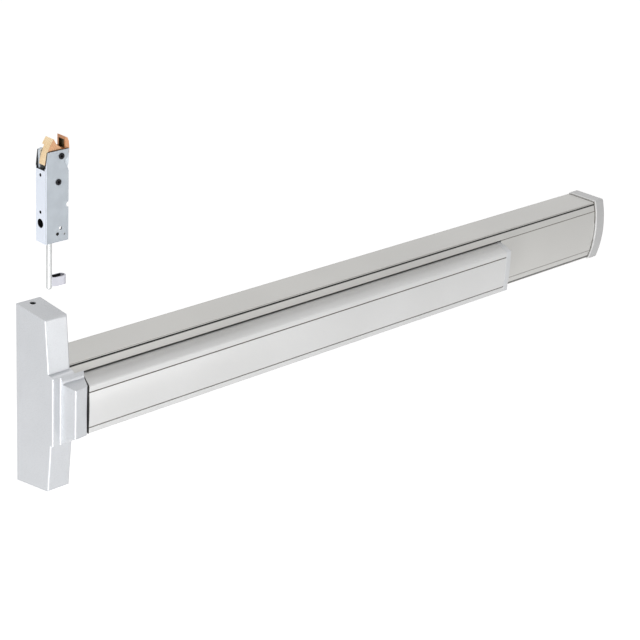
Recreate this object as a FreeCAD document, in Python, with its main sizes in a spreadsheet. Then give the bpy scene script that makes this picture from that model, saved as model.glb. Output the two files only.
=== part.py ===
import FreeCAD, Part
import math
import os

import Sketcher

# Vertical rod exit device: a push bar in a wall rail, an active head with its cast cover,
# and the top latch that the head's rod works. Millimetres, +Z up, +X along the bar away from the
# head, and the user stands at -Y. The origin is the centre of the head's back, on the door face.

doc = FreeCAD.newDocument("exit_device")
sheet = doc.addObject("Spreadsheet::Sheet", "sizes")

# Driving sizes. A depth is measured from the door face towards the user.
SIZES = {
    # Head cover
    "head_height": 203.0,
    "head_width": 30.0,
    "head_draft": 2.0,
    "head_top_depth": 46.8,
    "head_upper_swell": 5.2,
    "head_lower_swell": 9.4,
    "head_foot_swell": 4.7,
    "head_top_drop": 3.8,
    "head_foot_rise": 6.8,
    "cover_wall": 2.5,
    "window_back_gap": 3.0,
    "cover_edge_round": 2.2,
    # Boss of the head cover, which closes the end of the bar
    "boss_nose_proud": 19.6,
    "boss_proud": 0.3,
    "boss_taper": 2.0,
    "boss_blend": 10.0,
    "boss_step_proud": 2.8,
    "boss_step_right": -2.6,
    "boss_nose_left": 2.2,
    "boss_nose_reach": 3.4,
    "boss_right_drop": 2.2,
    "boss_tail_gap": 6.7,
    "boss_sunk": 5.0,
    "boss_edge_round": 2.0,
    # Travel of the touch bar: straight, inwards and away from the head
    "travel_inward": 10.9,
    "travel_sideways": 5.1,
    # Rail
    "rail_gap": 0.2,
    "rail_end": 903.3,
    "rail_half_height": 40.5,
    "rail_top_depth": 43.4,
    "rail_corner": 0.8,
    "rail_lip_rise": 3.3,
    "rail_mouth_half": 28.9,
    "rail_wall": 2.2,
    "rail_back_wall": 2.4,
    "rail_lip_edge": 2.3,
    "rail_strip_wall": 2.0,
    # Touch bar
    "bar_boss_gap": 0.8,
    "bar_right": 690.0,
    "bar_shy": 1.9,
    "bar_bow": 1.2,
    "bar_side_gap": 1.6,
    "bar_arm_gap": 0.7,
    "bar_wall": 2.2,
    "bar_corner": 1.6,
    "bar_groove_inset": 7.7,
    "bar_groove_width": 0.9,
    "bar_groove_depth": 0.8,
    "bar_pad": 1.3,
    "bar_cap": 9.0,
    "cap_plug": 10.0,
    "plug_inset": 2.0,
    "fit_gap": 0.15,
    # Filler plate
    "filler_gap": 0.8,
    "filler_bow": 2.4,
    "filler_wall": 2.0,
    "filler_leg": 1.6,
    "filler_hook": 1.5,
    "filler_hook_wall": 1.6,
    "filler_proud": 0.1,
    # Rail end cap and its bracket
    "cap_length": 17.5,
    "cap_proud": 1.7,
    "cap_bow": 6.2,
    "cap_corner_rise": 2.2,
    "cap_wall": 2.4,
    "cap_tongue": 8.0,
    "cap_tongue_inset": 6.0,
    "cap_tongue_wall": 1.6,
    "bracket_length": 30.0,
    "bracket_wall": 2.5,
    "bracket_half_height": 16.0,
    "bracket_inset": 2.0,
    "bracket_hole": 2.75,
    "bracket_hole_spacing": 20.0,
    "bracket_hole_inset": 22.0,
    "cap_screw_radius": 1.9,
    "cap_screw_head": 3.6,
    "cap_screw_socket": 1.33,
    "cap_screw_height": 11.0,
    "cap_screw_depth": 30.0,
    "cap_screw_boss": 0.6,
    "cap_screw_grip": 2.0,
    "bracket_tab_margin": 6.0,
    # Guide brackets, bar carriers and guide pins
    "carrier_plug_gap": 2.46,
    "carrier_inset": 50.0,
    "carrier_length": 20.0,
    "carrier_half_height": 14.0,
    "carrier_back_wall": 6.0,
    "carrier_pin_depth": 26.0,
    "carrier_waist_wall": 4.0,
    "carrier_waist_front": 9.0,
    "carrier_waist_back": 6.5,
    "guide_pin_radius": 2.5,
    "guide_pin_proud": 0.8,
    "guide_slot_gap": 0.2,
    "guide_length": 44.0,
    "guide_wall": 2.0,
    "guide_side_gap": 0.6,
    "guide_front_wall": 7.0,
    "guide_bevel": 6.0,
    "rivet_radius": 2.0,
    "rivet_head": 1.6,
    "rivet_head_height": 1.3,
    "guide_screw_spread": 15.5,
    "bar_rib": 2.0,
    "bar_rib_depth": 4.5,
    # Base plate of the head
    "plate_wall": 3.0,
    "plate_side_gap": 0.7,
    "plate_end_gap": 4.5,
    "plate_hole": 2.75,
    "plate_hole_side": 5.3,
    "plate_hole_end": 17.0,
    "tab_wall": 2.0,
    "top_tab_drop": 9.0,
    "top_tab_half": 7.0,
    "top_tab_depth": 14.0,
    "cover_screw_depth": 8.0,
    "cover_screw_radius": 2.0,
    "cover_screw_head": 2.9,
    "cover_screw_well": 3.1,
    "cover_screw_sink": 2.2,
    "cover_screw_head_height": 1.7,
    "cover_screw_grip": 3.0,
    "cover_screw_socket": 1.5,
    "cover_screw_socket_depth": 1.2,
    "cover_post_wall": 1.6,
    # Bell crank
    "crank_pivot_depth": 20.0,
    "crank_pin_radius": 2.5,
    "crank_push_arm": 22.0,
    "crank_lift_arm": 17.0,
    "crank_tip": 4.0,
    "crank_hub": 5.5,
    "crank_wall": 4.0,
    "crank_neck": 1.6,
    "crank_root": 4.4,
    "crank_eye_wall": 2.0,
    "crank_pin_head": 1.5,
    "crank_pin_head_height": 1.2,
    "ear_side_gap": 2.5,
    "ear_wall": 2.0,
    "ear_round": 6.5,
    "ear_flare": 2.5,
    "running_gap": 0.05,
    "contact_gap": 0.25,
    "drive_pin_radius": 2.0,
    # Actuator arm
    "arm_wall": 3.6,
    "arm_half_height": 6.0,
    "arm_side_gap": 2.9,
    "arm_seat": 6.0,
    "arm_pin_inset": 3.0,
    "arm_pin_radius": 1.2,
    # Lift carriage, its post and spring
    "lift_wall": 3.0,
    "lift_side_gap": 1.2,
    "lift_over_pin": 5.0,
    "lift_limb": 5.5,
    "lift_eye_half": 6.0,
    "lift_web": 3.0,
    "lift_heel": 22.0,
    "post_side_gap": 7.9,
    "post_depth": 14.0,
    "post_radius": 3.0,
    "post_inset": 11.0,
    "post_tab_margin": 0.4,
    "post_top": -20.0,
    "sleeve_radius": 5.4,
    "sleeve_room": 10.0,
    "sleeve_height": 16.0,
    "lug_half_width": 4.6,
    "lug_half_height": 5.5,
    "lug_hole": 2.5,
    "lug_hole_deep": 7.0,
    "lug_recess": 0.4,
    "slot_gap": 0.8,
    "slot_length": 1.5,
    "slot_inner": 1.0,
    "spring_wire": 0.6,
    "coil_gap": 1.4,
    "spring_turns": 6.0,
    # Top latch: the heights of its pieces stack up from the top of the head
    "rod_gap": 22.5,
    "rod_reach": 52.0,
    "guide_height": 4.5,
    "latch_spring_length": 22.5,
    "collar_height": 4.0,
    "collar_gap": 3.0,
    "link_seat": 10.0,
    "link_roof": 2.0,
    "link_room": 16.6,
    "catch_drop": 26.0,
    # Latch case
    "case_front_depth": 41.0,
    "case_width": 17.0,
    "case_reach": 27.8,
    "case_wall": 1.6,
    "case_shoulder_drop": 12.6,
    "case_hole": 1.7,
    "case_upper_drop": 18.2,
    "case_window": 4.7,
    "case_window_height": 20.3,
    "case_lower_gap": 11.7,
    "case_notch": 2.8,
    "case_notch_height": 37.4,
    # Latch bolt
    "bolt_pivot_x": 10.8,
    "pivot_radius": 2.2,
    "pivot_bore": 1.3,
    "pivot_flange": 1.0,
    "pivot_flange_height": 0.8,
    "bolt_hub": 5.2,
    "bolt_face_bow": 1.8,
    "bolt_side_gap": 0.3,
    "bolt_link_angle": 17.5,
    "bolt_link_arm": 14.0,
    "bolt_rebate_gap": 0.5,
    # Link between the rod and the bolt
    "link_pin_radius": 1.5,
    "link_gap": 0.2,
    "link_wall": 3.0,
    "link_width": 6.8,
    "link_side_gap": 0.32,
    "link_block": 4.8,
    # Catch
    "catch_link_gap": 1.58,
    "catch_bolt_gap": 0.8,
    "catch_thickness": 5.0,
    "catch_hub": 5.2,
    "catch_rim": 2.2,
    "catch_pocket": 2.4,
    # Rod, collar and clip
    "rod_x": 2.3,
    "rod_radius": 3.0,
    "rod_bevel": 1.2,
    "collar_radius": 2.6,
    "latch_spring_turns": 4.0,
    "clip_rise": 3.0,
    "clip_height": 9.5,
    "clip_wall": 1.6,
    "clip_reach": 14.7,
    "clip_shoulder": 7.2,
    "clip_half_width": 4.9,
}


class Size:
    """A cell of the sheet, or a sum or product of cells: its expression and its value."""

    def __init__(self, text, value):
        self.text = text
        self.value = value

    def joined(self, sign, other, value):
        return Size(f"({self.text} {sign} {other.text})", value)

    def __add__(self, other):
        other = as_size(other)
        return self.joined("+", other, self.value + other.value)

    def __sub__(self, other):
        other = as_size(other)
        return self.joined("-", other, self.value - other.value)

    def __mul__(self, other):
        other = as_size(other)
        return self.joined("*", other, self.value * other.value)

    def __truediv__(self, other):
        other = as_size(other)
        return self.joined("/", other, self.value / other.value)

    def __radd__(self, other):
        return as_size(other) + self

    def __rsub__(self, other):
        return as_size(other) - self

    def __rmul__(self, other):
        return as_size(other) * self

    def __neg__(self):
        return as_size(0) - self

    def __float__(self):
        return self.value


def as_size(item):
    """Any number as a Size."""
    return item if isinstance(item, Size) else Size(repr(float(item)), float(item))


class Sizes:
    """Each driving size as an attribute."""


s = Sizes()
for row, (alias, number) in enumerate(SIZES.items(), start=1):
    sheet.set(f"A{row}", alias)
    sheet.set(f"B{row}", str(number))
    sheet.setAlias(f"B{row}", alias)
    setattr(s, alias, Size("sizes." + alias, number))
doc.recompute()


def bind(obj, prop, size):
    """Tie one property to the sheet."""
    obj.setExpression(prop, as_size(size).text)


def circle(a, b, radius):
    """A round outline, for a sketch."""
    return ("circle", a, b, radius)


def draw(sketch, outline):
    """Draw an outline in a sketch, with every corner and radius tied to the sheet.

    A corner is (a, b), or (a, b, bow) where the side after it is an arc. Its bow is the height of
    the arc over its chord, positive to the left of the way that the outline runs.
    """
    if outline[0] == "circle":
        kind, a, b, radius = outline
        a, b, radius = as_size(a), as_size(b), as_size(radius)
        centre = FreeCAD.Vector(a.value, b.value, 0)
        item = sketch.addGeometry(Part.Circle(centre, FreeCAD.Vector(0, 0, 1), radius.value), False)
        place_point(sketch, item, 3, a, b)
        number = sketch.addConstraint(Sketcher.Constraint("Radius", item, radius.value))
        bind(sketch, f"Constraints[{number}]", radius)
        return
    corners = [(as_size(corner[0]), as_size(corner[1])) for corner in outline]
    bows = [as_size(corner[2]) if len(corner) > 2 else None for corner in outline]
    items = []
    for index, (a, b) in enumerate(corners):
        next_a, next_b = corners[(index + 1) % len(corners)]
        start = FreeCAD.Vector(a.value, b.value, 0)
        end = FreeCAD.Vector(next_a.value, next_b.value, 0)
        if bows[index] is None:
            items.append(sketch.addGeometry(Part.LineSegment(start, end), False))
            continue
        chord = end - start
        left = FreeCAD.Vector(-chord.y, chord.x, 0).normalize()
        top = (start + end) * 0.5 + left * bows[index].value
        arc = Part.Arc(start, top, end)
        items.append(sketch.addGeometry(arc, False))
    starts = []
    for index, item in enumerate(items):
        begins = sketch.getPoint(item, 1)
        a, b = corners[index]
        near = abs(begins.x - a.value) < 1e-6 and abs(begins.y - b.value) < 1e-6
        starts.append(1 if near else 2)
    for index, item in enumerate(items):
        before = (index - 1) % len(items)
        ends = 3 - starts[before]
        sketch.addConstraint(Sketcher.Constraint("Coincident", items[before], ends, item, starts[index]))
    for index, item in enumerate(items):
        a, b = corners[index]
        place_point(sketch, item, starts[index], a, b)
        if bows[index] is None:
            continue
        next_a, next_b = corners[(index + 1) % len(corners)]
        run, rise = next_a - a, next_b - b
        bow = bows[index] if bows[index].value > 0 else -bows[index]
        if abs(math.hypot(run.value, rise.value) - 2 * bow.value) < 1e-6:
            upright = abs(rise.value) > abs(run.value)
            kind, size = ("DistanceX", (a + next_a) / 2) if upright else ("DistanceY", (b + next_b) / 2)
            hold(sketch, kind, item, 3, size)
            continue
        radius = (run * run + rise * rise) / (8 * bow) + bow / 2
        number = sketch.addConstraint(Sketcher.Constraint("Radius", item, radius.value))
        bind(sketch, f"Constraints[{number}]", radius)


def hold(sketch, kind, item, point, size):
    """Hold a point of a sketch at one distance from the sketch's origin."""
    number = sketch.addConstraint(Sketcher.Constraint(kind, -1, 1, item, point, size.value))
    bind(sketch, f"Constraints[{number}]", size)


def place_point(sketch, item, point, a, b):
    """Hold a point of a sketch at both of its distances from the sketch's origin."""
    hold(sketch, "DistanceX", item, point, a)
    hold(sketch, "DistanceY", item, point, b)


def new_sketch(body, plane, outlines, offset):
    """A sketch on one of the body's own planes, moved along the plane's normal."""
    sketch = body.newObject("Sketcher::SketchObject", body.Name + "_sketch")
    origin = [item for item in body.Origin.OriginFeatures if item.Role == plane + "_Plane"][0]
    sketch.AttachmentSupport = [(origin, "")]
    sketch.MapMode = "FlatFace"
    for outline in outlines:
        draw(sketch, outline)
    bind(sketch, "AttachmentOffset.Base.z", offset)
    return sketch


def pad(body, plane, low, high, *outlines):
    """Add material between two heights along the plane's normal."""
    low, high = as_size(low), as_size(high)
    feature = body.newObject("PartDesign::Pad", body.Name + "_pad")
    feature.Profile = new_sketch(body, plane, outlines, low)
    bind(feature, "Length", high - low)
    body.Tip = feature
    doc.recompute()
    return body


def pocket(body, plane, low, high, *outlines):
    """Take material away between two heights along the plane's normal."""
    low, high = as_size(low), as_size(high)
    before = body.Shape.Volume
    feature = body.newObject("PartDesign::Pocket", body.Name + "_pocket")
    feature.Profile = new_sketch(body, plane, outlines, (low + high) / 2)
    feature.Midplane = True
    bind(feature, "Length", high - low)
    body.Tip = feature
    doc.recompute()
    if body.Shape.Volume > before - 1e-3:
        raise ValueError(f"a pocket of {body.Label} cuts nothing")
    return body


def new_body(label):
    """An empty body with its node's name."""
    return doc.addObject("PartDesign::Body", label)


def plate(label, plane, low, high, *outlines):
    """A body made by one pad."""
    return pad(new_body(label), plane, low, high, *outlines)


def block(label, x, y, z):
    """A box from its two limits along each axis."""
    box = doc.addObject("Part::Box", label)
    for prop, axis, (low, high) in (("Length", "x", x), ("Width", "y", y), ("Height", "z", z)):
        bind(box, prop, as_size(high) - low)
        bind(box, "Placement.Base." + axis, low)
    return box


TURNS = {
    "x": FreeCAD.Rotation(FreeCAD.Vector(0, 1, 0), 90),
    "y": FreeCAD.Rotation(FreeCAD.Vector(1, 0, 0), -90),
    "z": FreeCAD.Rotation(),
}


def cylinder(label, axis, centre, low, high, radius):
    """A round bar along an axis; centre holds its place along the other two axes, in their order."""
    item = doc.addObject("Part::Cylinder", label)
    item.Placement = FreeCAD.Placement(FreeCAD.Vector(), TURNS[axis])
    bind(item, "Radius", radius)
    bind(item, "Height", as_size(high) - low)
    others = [name for name in "xyz" if name != axis]
    bind(item, "Placement.Base." + axis, low)
    bind(item, "Placement.Base." + others[0], centre[0])
    bind(item, "Placement.Base." + others[1], centre[1])
    return item


def cone(label, axis, centre, low, high, radius_low, radius_high):
    """A tapered round bar along an axis."""
    item = doc.addObject("Part::Cone", label)
    item.Placement = FreeCAD.Placement(FreeCAD.Vector(), TURNS[axis])
    bind(item, "Radius1", radius_low)
    bind(item, "Radius2", radius_high)
    bind(item, "Height", as_size(high) - low)
    others = [name for name in "xyz" if name != axis]
    bind(item, "Placement.Base." + axis, low)
    bind(item, "Placement.Base." + others[0], centre[0])
    bind(item, "Placement.Base." + others[1], centre[1])
    return item


def socket(label, axis, centre, low, high, radius):
    """A hexagonal socket for a driver."""
    item = doc.addObject("Part::Prism", label)
    item.Placement = FreeCAD.Placement(FreeCAD.Vector(), TURNS[axis])
    item.Polygon = 6
    bind(item, "Circumradius", radius)
    bind(item, "Height", as_size(high) - low)
    others = [name for name in "xyz" if name != axis]
    bind(item, "Placement.Base." + axis, low)
    bind(item, "Placement.Base." + others[0], centre[0])
    bind(item, "Placement.Base." + others[1], centre[1])
    return item


def fuse(label, *items):
    """Items joined to one solid, or kept as a group of separate ones."""
    result = doc.addObject("Part::MultiFuse", label)
    result.Shapes = list(items)
    result.Refine = True
    return result


def cut(label, base, *tools):
    """The base without its tools."""
    for number, tool in enumerate(tools):
        last = number == len(tools) - 1
        result = doc.addObject("Part::Cut", label if last else label + "_step")
        result.Base = base
        result.Tool = tool
        result.Refine = True
        base = result
    return base


def common(label, first, second):
    """What two items share."""
    result = doc.addObject("Part::Common", label)
    result.Base = first
    result.Tool = second
    return result


def rounded(label, base, radius, chosen):
    """Round the edges of the base that the test chosen picks."""
    doc.recompute()
    result = doc.addObject("Part::Fillet", label)
    result.Base = base
    numbers = [index for index, edge in enumerate(base.Shape.Edges, start=1) if chosen(edge)]
    if not numbers:
        raise ValueError(f"{label} has no edge to round")
    result.Edges = [(index, float(radius), float(radius)) for index in numbers]
    doc.recompute()
    return result


def runs_along(edge, axis):
    """Whether a straight edge runs along an axis, given as a vector."""
    if edge.Curve.TypeId != "Part::GeomLine":
        return False
    return abs(abs(edge.tangentAt(edge.FirstParameter).dot(axis)) - 1) < 0.02


def spring(label, x, depth, foot, top, radius, wire, turns):
    """A coil spring along Z: the wire's section, square to the helix at its foot, swept along it."""
    foot, top = float(foot) + float(wire), float(top) - float(wire)
    pitch = (top - foot) / float(turns)
    helix = Part.makeHelix(pitch, top - foot, float(radius))
    lead = math.atan2(pitch, 2 * math.pi * float(radius))
    start = FreeCAD.Vector(float(radius), 0, 0)
    along = FreeCAD.Vector(0, math.cos(lead), math.sin(lead))
    profile = Part.Wire(Part.Circle(start, along, float(wire)).toShape())
    coil = doc.addObject("Part::Feature", label)
    coil.Shape = Part.Wire(helix).makePipeShell([profile], True, True)
    coil.Placement = FreeCAD.Placement(FreeCAD.Vector(float(x), -float(depth), foot), FreeCAD.Rotation())
    return coil


nodes = {}


def node(item):
    """Keep an item as a finished piece, under its own name."""
    nodes[item.Name] = item
    return item


# Sizes that several pieces share
half_height = s.head_height / 2
half_width = s.head_width / 2
slope = s.travel_sideways / s.travel_inward
rail_left = half_width + s.rail_gap
cavity_half = half_width - s.cover_wall
head_upper_depth = s.head_top_depth + s.head_upper_swell
head_lower_depth = s.head_top_depth + s.head_lower_swell
head_foot_depth = s.head_top_depth + s.head_foot_swell
boss_step_depth = head_lower_depth + s.boss_step_proud
boss_depth = boss_step_depth + s.boss_nose_proud
boss_right_depth = boss_depth - s.boss_right_drop
boss_nose_right = half_width + s.boss_nose_reach
rail_lip_depth = s.rail_top_depth + s.rail_lip_rise
bar_depth = boss_depth - s.bar_shy
bar_left = boss_nose_right + s.bar_pad + s.bar_boss_gap
bar_half_height = s.rail_mouth_half - s.bar_side_gap
arm_face = s.crank_pivot_depth + s.travel_inward / 2 + s.crank_tip + s.contact_gap
boss_half_height = bar_half_height + s.boss_proud
boss_root_half = boss_half_height + s.boss_taper
boss_tail_depth = arm_face + s.arm_wall + s.boss_tail_gap
bar_back_depth = arm_face + s.arm_wall + s.bar_arm_gap
# A depth beyond the front of every piece, and how far a cutting tool runs past what it cuts
REACH = 120.0
OVER = 1.0


def slanted(x, depth, at_depth):
    """X at another depth on a face that lies along the bar's travel."""
    return x + (depth - at_depth) * slope


# Head cover: a casting with a drafted left wall and a boss that is blended into its front.
blend_top = boss_root_half + s.boss_blend


def head_side(inset):
    """The cover's outline from the side, without its boss."""
    return [
        (inset, half_height - inset),
        (inset - s.head_top_depth, half_height - s.head_top_drop - inset),
        (inset - head_upper_depth, blend_top),
        (inset - head_lower_depth, -blend_top),
        (inset - head_foot_depth, s.head_foot_rise + inset - half_height),
        (inset, inset - half_height),
    ]


def head_left(depth):
    """X of the cover's left wall, which leans in to the front by its draft."""
    return s.head_draft * depth / s.head_top_depth - half_width


def head_plan(inset):
    """The cover's outline from above, without its boss."""
    return [
        (inset + head_left(-inset), inset),
        (inset + head_left(as_size(REACH)), -REACH),
        (half_width - inset, -REACH),
        (half_width - inset, inset),
    ]


# Height of a quarter arc over its chord, as a share of its radius
QUARTER_BOW = 1 - math.cos(math.pi / 4)


def boss_side(inset):
    """The boss from the side, with its blends into the front of the cover."""
    bow = (s.boss_blend + inset) * QUARTER_BOW
    return [
        (-boss_tail_depth, blend_top - inset),
        (inset - head_upper_depth, blend_top, -bow),
        (-head_upper_depth - s.boss_blend, boss_root_half - inset),
        (inset - boss_depth, boss_half_height - inset),
        (inset - boss_depth, inset - boss_half_height),
        (-head_lower_depth - s.boss_blend, inset - boss_root_half, -bow),
        (inset - head_lower_depth, -blend_top),
        (-boss_tail_depth, inset - blend_top),
    ]


def boss_plan(inset, tail):
    """The boss from above: a step, a steep left wall, the nose and the slanted right wall."""
    right = boss_nose_right - inset * math.hypot(1, float(slope))
    return [
        (head_left(tail) + inset, -tail),
        (head_left(boss_step_depth - inset) + inset, inset - boss_step_depth),
        (s.boss_step_right + inset / 2, inset - boss_step_depth),
        (s.boss_nose_left + inset, inset - boss_depth),
        (slanted(right, boss_right_depth, boss_right_depth - inset), inset - boss_right_depth),
        (slanted(right, boss_right_depth, boss_tail_depth), -boss_tail_depth),
        (half_width - inset, -boss_tail_depth),
        (half_width - inset, -tail),
    ]


def cover_front_edges(edge):
    """The edges round the front of the cover's block, without the two faint creases across it."""
    middle = edge.CenterOfMass
    at_crease = min(abs(middle.z - float(blend_top)), abs(middle.z + float(blend_top))) < 1
    crease = runs_along(edge, FreeCAD.Vector(1, 0, 0)) and at_crease
    return middle.y < OVER - float(s.head_top_depth) and not crease


def boss_front_edges(edge):
    """The upright edges of the boss's step and nose."""
    upright = runs_along(edge, FreeCAD.Vector(0, 0, 1))
    return upright and edge.CenterOfMass.y < -float(boss_step_depth) + 1


def make_head_cover():
    """The outside of the casting."""
    shell = common(
        "cover_block",
        plate("cover_side", "YZ", -half_width, half_width, head_side(as_size(0))),
        plate("cover_plan", "XY", -half_height, half_height, head_plan(as_size(0))),
    )
    boss_right = slanted(boss_nose_right, boss_right_depth, boss_tail_depth)
    boss = common(
        "boss_block",
        plate("boss_side", "YZ", -half_width, boss_right, boss_side(as_size(0))),
        plate("boss_plan", "XY", -half_height, half_height, boss_plan(as_size(0), boss_tail_depth - s.boss_sunk)),
    )
    # Right of the cover the boss runs between the rail's lips, so it is cut to the rail's mouth.
    mouth = s.rail_mouth_half - 2 * s.rail_gap
    relief_x = (half_width, boss_right + OVER)
    relief_y = (-boss_step_depth, 0)
    upper = block("upper_relief", relief_x, relief_y, (mouth, blend_top + OVER))
    lower = block("lower_relief", relief_x, relief_y, (-blend_top - OVER, -mouth))
    rounded_shell = rounded("cover_rounded", shell, s.cover_edge_round, cover_front_edges)
    rounded_boss = rounded("boss_rounded", boss, s.boss_edge_round, boss_front_edges)
    return fuse("cover_solid", rounded_shell, cut("boss_trimmed", rounded_boss, upper, lower))


# The casting is hollow, open at the back, with a window to the rail for the actuator arm.
cavity = common(
    "cover_cavity",
    plate("cavity_side", "YZ", -half_width, half_width, head_side(s.cover_wall)),
    plate("cavity_plan", "XY", -half_height, half_height, head_plan(s.cover_wall)),
)
boss_inner_half = boss_half_height - s.cover_wall
boss_hollow = plate(
    "boss_hollow", "XY", -boss_inner_half, boss_inner_half,
    boss_plan(s.cover_wall, boss_tail_depth - 2 * s.boss_sunk),
)
window = block(
    "cover_window",
    (cavity_half - OVER, half_width + OVER),
    (-boss_tail_depth - OVER, -s.rail_back_wall - s.window_back_gap),
    (-boss_inner_half, boss_inner_half),
)
open_back = block(
    "open_back",
    (-cavity_half, cavity_half),
    (-s.cover_wall - OVER, OVER),
    (s.cover_wall - half_height, half_height - s.cover_wall),
)
screw_y = -s.cover_screw_depth
tab_height = half_height - s.top_tab_drop
tab_face = tab_height + s.tab_wall + s.fit_gap
hollow = cut("cover_hollow", make_head_cover(), cavity, open_back, boss_hollow, window)


def cover_screw_post(sign, name):
    """The post inside the cover that a cover screw goes through."""
    low = tab_face if sign > 0 else s.cover_wall / 2 - half_height
    high = half_height - s.cover_wall / 2 if sign > 0 else -tab_face
    return cylinder(name, "z", (0, screw_y), low, high, s.cover_screw_well + s.cover_post_wall)


def cover_screw_holes(sign, name):
    """The well for a cover screw's head and the hole for its shank."""
    seat = half_height - s.cover_wall - s.cover_screw_sink
    outside = half_height + OVER
    well_low, well_high = (seat, outside) if sign > 0 else (-outside, -seat)
    hole_low, hole_high = (tab_face - OVER, outside) if sign > 0 else (-outside, OVER - tab_face)
    hole_radius = s.cover_screw_radius + s.contact_gap
    well = cylinder(name + "_well", "z", (0, screw_y), well_low, well_high, s.cover_screw_well)
    hole = cylinder(name + "_hole", "z", (0, screw_y), hole_low, hole_high, hole_radius)
    return fuse(name, well, hole)


posts = fuse("cover_with_posts", hollow, cover_screw_post(1, "top_post"), cover_screw_post(-1, "foot_post"))
node(cut("head_cover", posts, cover_screw_holes(1, "top_screw_way"), cover_screw_holes(-1, "foot_screw_way")))


# Base plate: folded steel, screwed to the door, with tabs for the cover screws and the post.
lift_travel = s.crank_lift_arm * s.travel_inward / s.crank_push_arm
plate_half_width = cavity_half - s.plate_side_gap
plate_half_height = half_height - s.plate_end_gap
post_x = s.post_side_gap - cavity_half
post_foot = s.post_inset - plate_half_height
sleeve_top = s.post_top - s.sleeve_room
sleeve_foot = sleeve_top - s.sleeve_height
lug_height = sleeve_top - s.sleeve_height / 2


def rectangle(left, right, low, high):
    """Corners of a rectangle in a sketch."""
    return [(left, low), (right, low), (right, high), (left, high)]


def stadium(low, high, level, radius):
    """A slot along a sketch's first axis, with round ends."""
    return [
        (low, level - radius),
        (high, level - radius, -radius),
        (high, level + radius),
        (low, level + radius, -radius),
    ]


def make_base_plate():
    hole_x, hole_z = plate_half_width - s.plate_hole_side, plate_half_height - s.plate_hole_end
    body = plate(
        "base_plate", "XZ", 0, s.plate_wall,
        rectangle(-plate_half_width, plate_half_width, -plate_half_height, plate_half_height),
        circle(-hole_x, -hole_z, s.plate_hole),
        circle(hole_x, -hole_z, s.plate_hole),
        circle(-hole_x, hole_z, s.plate_hole),
        circle(hole_x, hole_z, s.plate_hole),
        rectangle(
            -s.lug_half_width - s.slot_gap,
            s.lug_half_width + s.slot_gap,
            lug_height - s.lug_half_height - lift_travel - s.slot_gap,
            lug_height + s.lug_half_height + s.slot_gap,
        ),
    )
    tab = rectangle(-s.top_tab_half, s.top_tab_half, -s.top_tab_depth, -s.plate_wall / 2)
    screw = circle(0, -s.cover_screw_depth, s.cover_screw_radius)
    pad(body, "XY", tab_height, tab_height + s.tab_wall, tab, screw)
    pad(body, "XY", -tab_height - s.tab_wall, -tab_height, tab, screw)
    ear = s.sleeve_radius + s.post_tab_margin
    post_tab = rectangle(post_x - ear, post_x + ear, -s.post_depth - ear, -s.plate_wall / 2)
    post_hole = circle(post_x, -s.post_depth, s.post_radius)
    pad(body, "XY", post_foot - s.tab_wall, post_foot, post_tab, post_hole)
    pad(body, "XY", s.post_top, s.post_top + s.tab_wall, post_tab, post_hole)
    return node(body)


def make_cover_screw(sign, name):
    """One of the two screws that hold the cover to the plate's tabs, upright."""
    seat = half_height - s.cover_wall - s.cover_screw_sink
    tip = tab_height - s.cover_screw_grip
    top = seat + s.cover_screw_head_height
    socket_foot = top - s.cover_screw_socket_depth
    shank_ends, head_ends, socket_ends = (tip, seat), (seat, top), (socket_foot, top + OVER)
    if sign < 0:
        shank_ends, head_ends, socket_ends = (-seat, -tip), (-top, -seat), (-top - OVER, -socket_foot)
    place = (0, screw_y)
    shank = cylinder(name + "_shank", "z", place, *shank_ends, s.cover_screw_radius)
    head = cylinder(name + "_head", "z", place, *head_ends, s.cover_screw_head)
    blank = fuse(name + "_blank", shank, head)
    return cut(name, blank, socket(name + "_socket", "z", place, *socket_ends, s.cover_screw_socket))


make_base_plate()
node(fuse("cover_screws", make_cover_screw(1, "top_screw"), make_cover_screw(-1, "foot_screw")))

# Bell crank: pushed at its lower arm by the actuator arm, it pulls the lift carriage down.
crank_y = -s.crank_pivot_depth
crank_z = s.crank_push_arm
half_turn = math.asin(float(s.travel_inward) / 2 / float(s.crank_push_arm))
crank_rest = FreeCAD.Placement(
    FreeCAD.Vector(0, float(crank_y), float(crank_z)),
    FreeCAD.Rotation(FreeCAD.Vector(1, 0, 0), -math.degrees(half_turn)),
)
pin_depth = s.crank_pivot_depth + s.crank_lift_arm
ear_face = cavity_half - s.ear_side_gap
ear_gap = ear_face - s.ear_wall


def make_crank_bracket():
    foot = s.ear_round + s.ear_flare
    ear = [
        (-s.plate_wall, crank_z - foot),
        (crank_y, crank_z - s.ear_round, s.ear_round),
        (crank_y, crank_z + s.ear_round),
        (-s.plate_wall, crank_z + foot),
    ]
    body = plate(
        "crank_bracket", "XZ", s.plate_wall, s.plate_wall + s.ear_wall,
        rectangle(-ear_face, ear_face, crank_z - foot, crank_z + foot),
    )
    pad(body, "YZ", -ear_face, -ear_gap, ear)
    pad(body, "YZ", ear_gap, ear_face, ear)
    hole = circle(crank_y, crank_z, s.crank_pin_radius)
    pocket(body, "YZ", -ear_face - OVER, ear_face + OVER, hole)
    return node(body)


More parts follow.
